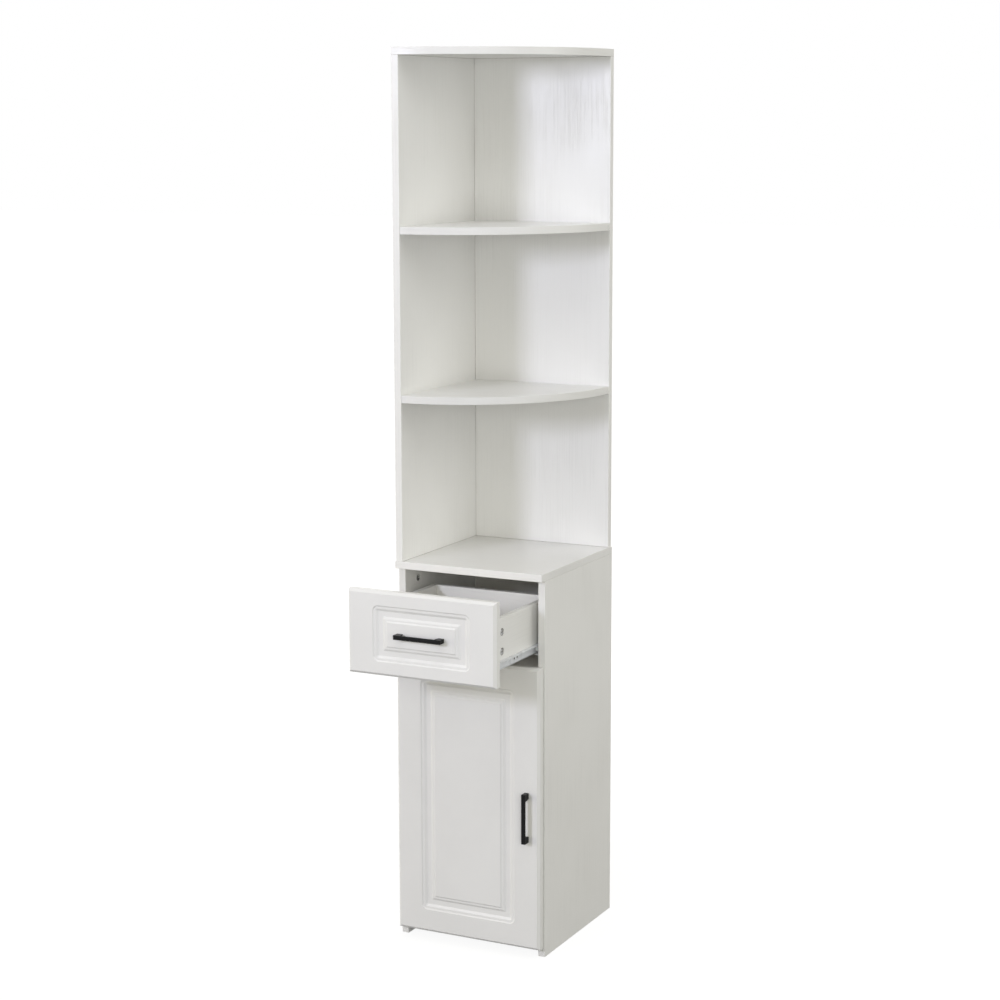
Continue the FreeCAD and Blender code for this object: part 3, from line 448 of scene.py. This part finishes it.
def drawn_lines():
    """Fine parallel lines that rolling or turning leaves in metal, and a cloudy plating."""
    e = Effect("drawn_lines", {"Across": (0.0, 0.3, 1.0), "Pitch": 0.4 * MM}, ("Line", "Blotch"))
    place = e.place()
    position = e.math("DIVIDE", e.dot(place, e.inputs["Across"]), e.inputs["Pitch"])
    e.feed(e.outputs["Line"], e.noise(e.vector(position, 0.0), scale=1.0, detail=2.0))
    e.feed(e.outputs["Blotch"], e.noise(place, scale=220.0, detail=3.0, roughness=0.6))
    return e.tree


GRAIN = embossed_grain()
COAT = coat_texture()
RUB = edge_rub()
# Painted shade: an occlusion mask for holes, slots and tight joints
RECESS_SHADE = painted_recess_shade()
LINES = drawn_lines()


# Finishes


class Finish:
    """Material in the making around one Principled shader."""

    def __init__(self, name, **sockets):
        self.material = bpy.data.materials.new(name)
        self.material.use_nodes = True
        self.tree = self.material.node_tree
        self.shader = self.tree.nodes["Principled BSDF"]
        for socket, value in sockets.items():
            self.shader.inputs[socket.replace("_", " ")].default_value = value

    def effect(self, group, **values):
        made = self.tree.nodes.new("ShaderNodeGroup")
        made.node_tree = group
        for socket, value in values.items():
            made.inputs[socket.replace("_", " ")].default_value = value
        return made.outputs

    def colour(self, mask, plain, masked):
        """Base colour from one tone to another by a mask. The first tone may be an earlier mix."""
        mix = self.tree.nodes.new("ShaderNodeMix")
        mix.data_type = "RGBA"
        self.tree.links.new(mask, mix.inputs["Factor"])
        if isinstance(plain, bpy.types.NodeSocket):
            self.tree.links.new(plain, mix.inputs[MIX_FIRST])
        else:
            mix.inputs[MIX_FIRST].default_value = (*plain, 1)
        mix.inputs[MIX_SECOND].default_value = (*masked, 1)
        self.tree.links.new(mix.outputs[MIX_RESULT], self.shader.inputs["Base Color"])
        return mix.outputs[MIX_RESULT]

    def roughness(self, mask, plain, masked):
        """Roughness from one value to another by a mask."""
        spread = self.tree.nodes.new("ShaderNodeMapRange")
        self.tree.links.new(mask, spread.inputs["Value"])
        spread.inputs["To Min"].default_value = plain
        spread.inputs["To Max"].default_value = masked
        self.tree.links.new(spread.outputs["Result"], self.shader.inputs["Roughness"])

    def relief(self, height, depth):
        """Bump of a depth in millimetres, on top of any earlier one."""
        bump = self.tree.nodes.new("ShaderNodeBump")
        bump.inputs["Distance"].default_value = depth * MM
        self.tree.links.new(height, bump.inputs["Height"])
        earlier = self.shader.inputs["Normal"].links
        if earlier:
            self.tree.links.new(earlier[0].from_socket, bump.inputs["Normal"])
        self.tree.links.new(bump.outputs["Normal"], self.shader.inputs["Normal"])


def melamine_board(name, grain, emboss, shade_reach):
    """Chipboard in white melamine with pressed pores, its raw core showing in holes and painted shade in
    tight joints and gaps.
    """
    across, along = grain
    f = Finish(name, Specular_IOR_Level=0.5)
    pores = f.effect(GRAIN, Across=across, Along=along)
    skin = f.effect(COAT, Fineness=700.0, Spread=6.0)
    core_and_shade = f.effect(RECESS_SHADE, Reach=shade_reach * MM)
    board = f.colour(pores["Pore"], WHITE_MELAMINE, MELAMINE_PORE)
    # Raw core brown in holes, and painted shade in tight joints and gaps where light hardly reaches
    f.colour(core_and_shade["Shade"], board, RAW_CORE_AND_SHADE)
    f.roughness(skin["Gloss"], plain=0.28, masked=0.38)
    f.relief(skin["Height"], depth=0.02)
    f.relief(pores["Height"], depth=emboss)
    return f.material


def satin_film():
    """Satin film over routed fibreboard."""
    f = Finish("satin_film", Specular_IOR_Level=0.45)
    skin = f.effect(COAT, Fineness=480.0, Spread=8.0)
    rub = f.effect(RUB, Width=1.2 * MM)
    f.colour(skin["Gloss"], WHITE_FILM, FILM_SHADE)
    f.roughness(rub["Rub"], plain=0.40, masked=0.30)
    f.relief(skin["Height"], depth=0.03)
    return f.material


def painted_hardboard():
    f = Finish("painted_hardboard", Specular_IOR_Level=0.35)
    skin = f.effect(COAT, Fineness=1500.0, Spread=5.0)
    f.colour(skin["Gloss"], HARDBOARD_PAINT, HARDBOARD_PALE)
    f.roughness(skin["Gloss"], plain=0.45, masked=0.60)
    f.relief(skin["Height"], depth=0.05)
    return f.material


def black_powder_coat():
    f = Finish("black_powder_coat", Specular_IOR_Level=0.13)
    skin = f.effect(COAT, Fineness=2600.0, Spread=60.0)
    rub = f.effect(RUB, Width=0.9 * MM)
    f.colour(rub["Rub"], POWDER_BLACK, POWDER_RUBBED)
    f.roughness(skin["Gloss"], plain=0.30, masked=0.42)
    f.relief(skin["Height"], depth=0.035)
    return f.material


def plated_metal(name, tones, smooth, rough, pitch):
    tone, blotch, worn = tones
    f = Finish(name, Metallic=1.0)
    lines = f.effect(LINES, Pitch=pitch * MM)
    rub = f.effect(RUB, Width=0.5 * MM)
    hollow_shade = f.effect(RECESS_SHADE, Reach=3.0 * MM)
    plating = f.colour(lines["Blotch"], tone, blotch)
    plating = f.colour(rub["Rub"], plating, worn)
    # Painted shade, near black, in hollows such as driver crosses and cam mouths
    f.colour(hollow_shade["Shade"], plating, PAINTED_HOLLOW_SHADE)
    f.roughness(lines["Line"], smooth, rough)
    f.relief(lines["Line"], depth=0.01)
    return f.material


def white_epoxy():
    f = Finish("white_epoxy", Specular_IOR_Level=0.5)
    skin = f.effect(COAT, Fineness=1100.0, Spread=30.0)
    rub = f.effect(RUB, Width=0.6 * MM)
    f.colour(rub["Rub"], RUNNER_EPOXY, EPOXY_RUBBED)
    f.roughness(skin["Gloss"], plain=0.24, masked=0.36)
    f.relief(skin["Height"], depth=0.03)
    return f.material


def moulded_nylon():
    f = Finish("moulded_nylon", Specular_IOR_Level=0.45, Subsurface_Weight=0.15, Subsurface_Scale=2.0 * MM)
    skin = f.effect(COAT, Fineness=1600.0, Spread=120.0)
    f.colour(skin["Gloss"], NYLON, NYLON_SHADE)
    f.roughness(skin["Gloss"], plain=0.36, masked=0.50)
    f.relief(skin["Height"], depth=0.02)
    return f.material


def beech_wood():
    f = Finish("beech_wood", Specular_IOR_Level=0.3)
    across, along = DOWEL_GRAIN
    pores = f.effect(GRAIN, Across=across, Along=along, Pore_Pitch=1.1 * MM, Pore_Length=10 * MM)
    f.colour(pores["Pore"], BEECH, BEECH_PORE)
    f.roughness(pores["Cloud"], plain=0.55, masked=0.75)
    f.relief(pores["Height"], depth=0.1)
    return f.material


def clear_soft_plastic():
    f = Finish("clear_soft_plastic", Transmission_Weight=0.85, IOR=1.48)
    skin = f.effect(COAT, Fineness=900.0, Spread=200.0)
    f.colour(skin["Gloss"], CLEAR_PLASTIC, CLEAR_SHADE)
    f.roughness(skin["Gloss"], plain=0.10, masked=0.22)
    f.relief(skin["Height"], depth=0.02)
    return f.material


FINISHES = {
    "white_board": melamine_board("melamine_upright", UPRIGHT, UPRIGHT_EMBOSS, BOARD_SHADE_REACH),
    "white_hardboard": painted_hardboard(),
    "white_front": satin_film(),
    "drawer_board": melamine_board("melamine_drawer", FRONT_TO_BACK, DRAWER_EMBOSS, DRAWER_SHADE_REACH),
    "black_handle": black_powder_coat(),
    "zinc": plated_metal("cast_zinc", CAST_ZINC, smooth=0.26, rough=0.44, pitch=0.9),
    "nickel": plated_metal("nickel", NICKEL, smooth=0.16, rough=0.30, pitch=0.4),
    "runner_white": white_epoxy(),
    "nylon": moulded_nylon(),
    "beech": beech_wood(),
    "clear_bumper": clear_soft_plastic(),
}


def dress_nodes():
    level = melamine_board("melamine_level", LEVEL, LEVEL_EMBOSS, BOARD_SHADE_REACH)
    for name, node in NODES.items():
        node.material_slots[0].link = "OBJECT"
        node.material_slots[0].material = level if name in LEVEL_BOARDS else FINISHES[SLOT_OF[name]]


def ease_edges(names, width):
    """Small rounded arrises on nodes that keep the shape they have."""
    for name in names:
        weld = NODES[name].modifiers.new("one_skin", "WELD")
        weld.merge_threshold = WELD_GAP
        ease = NODES[name].modifiers.new("eased_arris", "BEVEL")
        ease.width = width
        ease.segments = EASE_STEPS
        ease.limit_method = "ANGLE"
        ease.angle_limit = EASE_ANGLE
        ease.use_clamp_overlap = False
        ease.loop_slide = False


# Making meshes and pieces


def finished_mesh(name, bm):
    bmesh.ops.recalc_face_normals(bm, faces=bm.faces)
    mesh = bpy.data.meshes.new(name)
    bm.to_mesh(mesh)
    bm.free()
    return mesh


def new_piece(name, mesh, node):
    """Piece that stands for a CAD node, on its body and in its finish."""
    mesh.polygons.foreach_set("use_smooth", [True] * len(mesh.polygons))
    mesh.set_sharp_from_angle(angle=SMOOTH_ANGLE)
    mesh.materials.clear()
    mesh.materials.append(FINISHES[SLOT_OF[node]])
    piece = bpy.data.objects.new(name, mesh)
    bpy.context.scene.collection.objects.link(piece)
    flats = piece.modifiers.new("true_flats", "WEIGHTED_NORMAL")
    flats.keep_sharp = True
    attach(piece, BODY_OF[node])
    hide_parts(node)


def cut_away(mesh, *cutters):
    """The mesh less the cutters, as a new mesh."""
    blank = bpy.data.objects.new("blank", mesh)
    made = [blank]
    bpy.context.scene.collection.objects.link(blank)
    for cutter in cutters:
        tool = bpy.data.objects.new("cutter", cutter)
        bpy.context.scene.collection.objects.link(tool)
        made.append(tool)
        step = blank.modifiers.new("cut", "BOOLEAN")
        step.operation = "DIFFERENCE"
        step.solver = "EXACT"
        step.object = tool
    bpy.context.view_layer.update()
    seen = blank.evaluated_get(bpy.context.evaluated_depsgraph_get())
    result = bpy.data.meshes.new_from_object(seen)
    for thing in made:
        bpy.data.objects.remove(thing)
    return result


def skin_rings(bm, rings, capped=True):
    """Quads between rings of points, with the first and last ring filled."""
    loops = [[bm.verts.new(point) for point in ring] for ring in rings]
    for ring, after in zip(loops, loops[1:]):
        for i in range(len(ring)):
            j = (i + 1) % len(ring)
            bm.faces.new((ring[i], ring[j], after[j], after[i]))
    if capped:
        bm.faces.new(loops[0])
        bm.faces.new(loops[-1])
    else:
        for i in range(len(loops[0])):
            j = (i + 1) % len(loops[0])
            bm.faces.new((loops[-1][i], loops[-1][j], loops[0][j], loops[0][i]))


def circle(r, h):
    """Ring of points round the Z axis, in metres from millimetres."""
    turns = [2 * math.pi * step / TURN_STEPS for step in range(TURN_STEPS)]
    return [Vector((r * math.cos(a), r * math.sin(a), h)) * MM for a in turns]


def turned(name, profile, capped=True):
    """Turned body from (radius, height) points in millimetres."""
    bm = bmesh.new()
    skin_rings(bm, [circle(r, h) for r, h in profile], capped)
    return finished_mesh(name, bm)


def prism(name, outline, top, bottom):
    """Upright prism from (x, y) points in millimetres."""
    bm = bmesh.new()
    skin_rings(bm, [[Vector((x, y, h)) * MM for x, y in outline] for h in (top, bottom)])
    return finished_mesh(name, bm)


def copies(name, mesh, places):
    """One mesh of the same thing at each place."""
    bm = bmesh.new()
    for place in places:
        start = len(bm.verts)
        bm.from_mesh(mesh)
        bm.verts.ensure_lookup_table()
        bmesh.ops.transform(bm, matrix=place, verts=bm.verts[start:])
    return finished_mesh(name, bm)


def solids_of(node):
    """Corner points of each separate solid of a node."""
    bm = bmesh.new()
    bm.from_mesh(NODES[node].data)
    bmesh.ops.remove_doubles(bm, verts=bm.verts, dist=WELD_GAP)
    seen = set()
    solids = []
    for start in bm.verts:
        if start in seen:
            continue
        seen.add(start)
        waiting = [start]
        points = []
        while waiting:
            vert = waiting.pop()
            points.append(vert.co.copy())
            for edge in vert.link_edges:
                other = edge.other_vert(vert)
                if other not in seen:
                    seen.add(other)
                    waiting.append(other)
        solids.append(points)
    bm.free()
    return solids


def turned_place(points, low_end_is_head):
    """Place of a turned solid, with +Z out of its head's face, and its length and radius in millimetres."""
    low = Vector([min(p[i] for p in points) for i in range(3)])
    high = Vector([max(p[i] for p in points) for i in range(3)])
    size = high - low
    centre = (low + high) / 2
    axis = min(range(3), key=lambda i: abs(size[i - 1] - size[i - 2]))

    def end_radii(level):
        ends = [p - centre for p in points if abs(p[axis] - level) < WELD_GAP]
        return [math.hypot(p[axis - 1], p[axis - 2]) for p in ends]

    out = Vector((0, 0, 0))
    out[axis] = -1 if low_end_is_head(end_radii(low[axis]), end_radii(high[axis])) else 1
    side = Vector((1, 0, 0)) if axis == 2 else Vector((0, 0, 1))
    turn = Matrix((side, out.cross(side), out)).transposed()
    place = Matrix.Translation(centre + out * size[axis] / 2) @ turn.to_4x4()
    return place, size[axis] / MM, size[axis - 1] / 2 / MM


def wider_low_end(low_radii, high_radii):
    return max(low_radii) > max(high_radii)


def slotted_low_end(low_radii, high_radii):
    return min(low_radii) < min(high_radii)


def plain_ends(low_radii, high_radii):
    return False


def set_in_place(name, node, low_end_is_head, make):
    """Copies of one turned thing at every solid of a node."""
    found = [turned_place(points, low_end_is_head) for points in solids_of(node)]
    places, lengths, radii = zip(*found)
    new_piece(name, copies(name, make(lengths[0], radii[0]), places), node)


# Fasteners and rollers


def cross_outline(reach, arm):
    quarter = ((arm, arm), (arm, reach), (-arm, reach))
    points = []
    for turn in range(4):
        c = round(math.cos(turn * math.pi / 2))
        s = round(math.sin(turn * math.pi / 2))
        points.extend((x * c - y * s, x * s + y * c) for x, y in quarter)
    return points


def cam_lock(length, radius):
    """Die-cast cam: rimmed drum with a driver cross and an open mouth for the bolt's head."""
    face = radius - CAM_GAP
    neck = face - CAM_NECK_IN
    drum = turned("cam_drum", (
        (face - 2 * CAM_RIM, 0), (face - CAM_RIM, -CAM_RIM / 4), (face, -CAM_RIM), (face, -CAM_FACE_H),
        (neck, -CAM_NECK_TOP), (neck, CAM_NECK_FOOT - length), (radius, CAM_FOOT_H - length),
        (radius, CAM_RIM - length), (radius - CAM_RIM, -length)))
    outline = cross_outline(CAM_CROSS_REACH, CAM_CROSS_ARM)
    cross = prism("cam_cross", outline, CUTTER_OVERRUN, -CAM_CROSS_DEPTH)
    shares = [step / CAM_MOUTH_STEPS - 1 for step in range(2 * CAM_MOUTH_STEPS + 1)]
    steps = [CAM_MOUTH_MIDDLE + CAM_MOUTH_HALF * share for share in shares]
    far = radius + CUTTER_OVERRUN
    outside = [(far * math.cos(a), far * math.sin(a)) for a in steps]
    inside = [(CAM_MOUTH_IN * math.cos(a), CAM_MOUTH_IN * math.sin(a)) for a in reversed(steps)]
    mouth = prism("cam_mouth", outside + inside, CUTTER_OVERRUN, -CAM_MOUTH_DEPTH)
    return cut_away(drum, cross, mouth)


def pan_screw(head_r, head_h, shank_r):
    """Maker of screws with a domed head, a driver cross and a ringed thread."""
    def make(length, radius):
        dome = [(r * head_r, -h * head_h) for r, h in SCREW_DOME]
        collar = [(shank_r, -head_h), (shank_r, -head_h - THREAD_PITCH)]
        thread = []
        depth = head_h + 2 * THREAD_PITCH
        while depth < length - 2 * THREAD_PITCH:
            thread.append((shank_r - THREAD_DEPTH, -depth))
            thread.append((shank_r, -depth - THREAD_PITCH * THREAD_CREST))
            thread.append((shank_r - THREAD_DEPTH, -depth - THREAD_PITCH * THREAD_FOOT))
            depth = depth + THREAD_PITCH
        tip = [(shank_r - THREAD_DEPTH, -depth), (shank_r * SCREW_TIP, -length)]
        body = turned("screw_body", dome + collar + thread + tip)
        outline = cross_outline(head_r * SCREW_CROSS_REACH, head_r * SCREW_CROSS_ARM)
        return cut_away(body, prism("screw_cross", outline, CUTTER_OVERRUN, -head_h * SCREW_CROSS_DEPTH))
    return make


def wheel(length, radius):
    """Moulded wheel with a hub, a thin web and a crowned rim."""
    rim = radius - WHEEL_RIM
    side = ((WHEEL_BORE, WHEEL_FLARE), (WHEEL_BORE + WHEEL_DRAFT, 0), (WHEEL_HUB - WHEEL_EASE, 0),
            (WHEEL_HUB, WHEEL_EASE), (WHEEL_HUB + WHEEL_DRAFT, WHEEL_WEB_IN),
            (rim - WHEEL_EASE - WHEEL_DRAFT, WHEEL_WEB_IN), (rim - WHEEL_EASE, WHEEL_EASE), (rim, 0),
            (radius - WHEEL_CROWN, 0), (radius - WHEEL_EASE, WHEEL_DRAFT), (radius, WHEEL_CROWN))
    far_side = [(r, h - length) for r, h in reversed(side)]
    return turned("wheel_body", [(r, -h) for r, h in side] + far_side, capped=False)


def bumper_dot(length, radius):
    return turned("bumper_body", [(radius * r, -length * h) for r, h in BUMPER_DOME])


# Moulded fronts and handles


def softened(profile, softness):
    """Profile with its corners turned into short bends."""
    bent = [profile[0]]
    for before, corner, after in zip(profile, profile[1:], profile[2:]):
        arms = []
        for end in (before, after):
            run = Vector(end) - Vector(corner)
            arms.append(Vector(corner) + run * min(softness / run.length, BEND_SHARE))
        for step in range(BEND_STEPS + 1):
            t = step / BEND_STEPS
            point = arms[0] * (1 - t) ** 2 + Vector(corner) * (2 * t * (1 - t)) + arms[1] * t ** 2
            bent.append(tuple(point))
    bent.append(profile[-1])
    return bent


def frame_ring(low, high, inset_x, inset_z, corner, y):
    """Rounded rectangle on a front, in metres from insets in millimetres."""
    x0 = low.x + (inset_x + corner) * MM
    x1 = high.x - (inset_x + corner) * MM
    z0 = low.z + (inset_z + corner) * MM
    z1 = high.z - (inset_z + corner) * MM
    ring = []
    for quarter, (x, z) in enumerate(((x1, z1), (x0, z1), (x0, z0), (x1, z0))):
        for step in range(CORNER_STEPS + 1):
            a = math.pi / 2 * (quarter + step / CORNER_STEPS)
            ring.append(Vector((x + corner * MM * math.cos(a), y, z + corner * MM * math.sin(a))))
    return ring


def moulded_front(name, node, rail, *cutters):
    """Front with an eased edge, a routed groove and a raised centre panel."""
    low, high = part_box(node)
    thick = (high.y - low.y) / MM
    step_in = EDGE_CHAMFER + EDGE_STEP_W
    edge = [(FLAT_MARGIN, thick), (0, thick), (0, EDGE_STEP_D + EDGE_CHAMFER), (EDGE_CHAMFER, EDGE_STEP_D),
            (step_in, 0), (step_in + FLAT_MARGIN, 0)]
    groove = [(-FLAT_MARGIN, 0), (0, 0)]
    for width, drop in GROOVE_BANDS:
        groove.append((groove[-1][0] + width, groove[-1][1] + drop))
    groove.append((groove[-1][0] + FLAT_MARGIN, groove[-1][1]))
    rings = []
    for inset, drop in softened(edge, EDGE_SOFTNESS):
        rings.append(frame_ring(low, high, inset, inset, SHARP_CORNER, low.y + drop * MM))
    for inset, drop in softened(groove, MOULDING_SOFTNESS):
        corner = max(GROOVE_CORNER - inset, SHARP_CORNER)
        rings.append(frame_ring(low, high, STILE + inset, rail + inset, corner, low.y + drop * MM))
    bm = bmesh.new()
    skin_rings(bm, rings)
    mesh = finished_mesh(name, bm)
    if cutters:
        mesh = cut_away(mesh, *cutters)
    new_piece(name, mesh, node)


def cup_bores():
    """Cutters for the hinge cups in the back of the door."""
    low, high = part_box("door_panel")
    bores = []
    for points in solids_of("hinge_cups"):
        z = (min(p.z for p in points) + max(p.z for p in points)) / 2
        bore = turned("cup_bore", ((CUP_BORE_R, CUTTER_OVERRUN), (CUP_BORE_R, -CUP_BORE_DEPTH)))
        turn = Matrix.Rotation(-math.pi / 2, 4, "X")
        bore.transform(Matrix.Translation((low.x + (CUP_R + CUP_SETBACK) * MM, high.y, z)) @ turn)
        bores.append(bore)
    return bores


def bottom_groove():
    """Cutter for the groove that holds the drawer bottom."""
    low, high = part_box("drawer_bottom")
    play = BOTTOM_GROOVE_PLAY * MM
    bm = bmesh.new()
    ring = [(low.x - play, low.y - play), (high.x + play, low.y - play), (high.x + play, high.y),
            (low.x - play, high.y)]
    skin_rings(bm, [[(x, y, z) for x, y in ring] for z in (low.z, high.z + play)])
    return finished_mesh("bottom_groove", bm)


def bar_handle(name, node):
    """Square bar on two tapered feet, chamfered round its front."""
    low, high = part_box(node)
    size = high - low
    middle = (low + high) / 2
    along = Vector((1, 0, 0)) if size.x > size.z else Vector((0, 0, 1))
    across = Vector((0, 0, 1)) if size.x > size.z else Vector((1, 0, 0))
    half = max(size.x, size.z) / 2
    reach = size.y
    neck = reach - HANDLE_BAR * MM
    foot = half - HANDLE_FOOT * MM
    taper = foot - HANDLE_TAPER * MM
    outline = ((-half, 0), (-foot, 0), (-taper, neck), (taper, neck), (foot, 0), (half, 0), (half, reach),
               (-half, reach))
    width = min(size.x, size.z) / 2
    back = Vector((middle.x, high.y, middle.z))
    out = Vector((0, -1, 0))
    bm = bmesh.new()
    skin_rings(bm, [[back + along * u + out * v + across * w for u, v in outline] for w in (-width, width)])
    bmesh.ops.recalc_face_normals(bm, faces=bm.faces)
    rim = [e for e in bm.edges if all(abs(v.co.y - low.y) < WELD_GAP for v in e.verts)]
    bmesh.ops.bevel(bm, geom=rim, offset=HANDLE_CHAMFER * MM, offset_type="OFFSET", segments=1,
                    profile=EASE_ROUND, affect="EDGES", clamp_overlap=False)
    bmesh.ops.bevel(bm, geom=bm.edges[:], offset=HANDLE_EASE * MM, offset_type="OFFSET", segments=EASE_STEPS,
                    profile=EASE_ROUND, affect="EDGES", clamp_overlap=False)
    new_piece(name, finished_mesh(name, bm), node)


def fit_out():
    """Every piece that stands for a CAD node."""
    moulded_front("moulded_door", "door_panel", DOOR_RAIL, *cup_bores())
    moulded_front("moulded_drawer_front", "drawer_front", DRAWER_RAIL, bottom_groove())
    bar_handle("door_bar_handle", "door_handle")
    bar_handle("drawer_bar_handle", "drawer_handle")
    for unit in ("carcass", "upper", "shelf", "drawer"):
        set_in_place(unit + "_cams", unit + "_cam_locks", slotted_low_end, cam_lock)
    board_screw = pan_screw(*BOARD_SCREW)
    for use in ("hinge_arm", "hinge_plate", "hinge_cup", "cabinet_runner", "drawer_runner", "drawer_back"):
        set_in_place(use + "_pan_screws", use + "_screws", wider_low_end, board_screw)
    handle_screw = pan_screw(*HANDLE_SCREW)
    for use in ("door_handle", "drawer_handle"):
        set_in_place(use + "_machine_screws", use + "_screws", wider_low_end, handle_screw)
    for side in ("left", "right"):
        for part in ("cabinet", "drawer"):
            set_in_place(side + "_" + part + "_wheel", side + "_" + part + "_roller", plain_ends, wheel)
    set_in_place("bumper_dots", "door_bumpers", plain_ends, bumper_dot)


place_camera()
make_world()
make_floor()
hang_softboxes()
dress_nodes()
ease_edges([n for n in NODES if SLOT_OF[n] in ("nickel", "runner_white")], METAL_EASE)
ease_edges([n for n in NODES if SLOT_OF[n] == "beech" or n.endswith(("_bolts", "_axles"))], METAL_EASE)
ease_edges(("lower_back_panel", "drawer_bottom"), SHEET_EASE)
fit_out()
bpy.context.scene.view_settings.view_transform = "Standard"
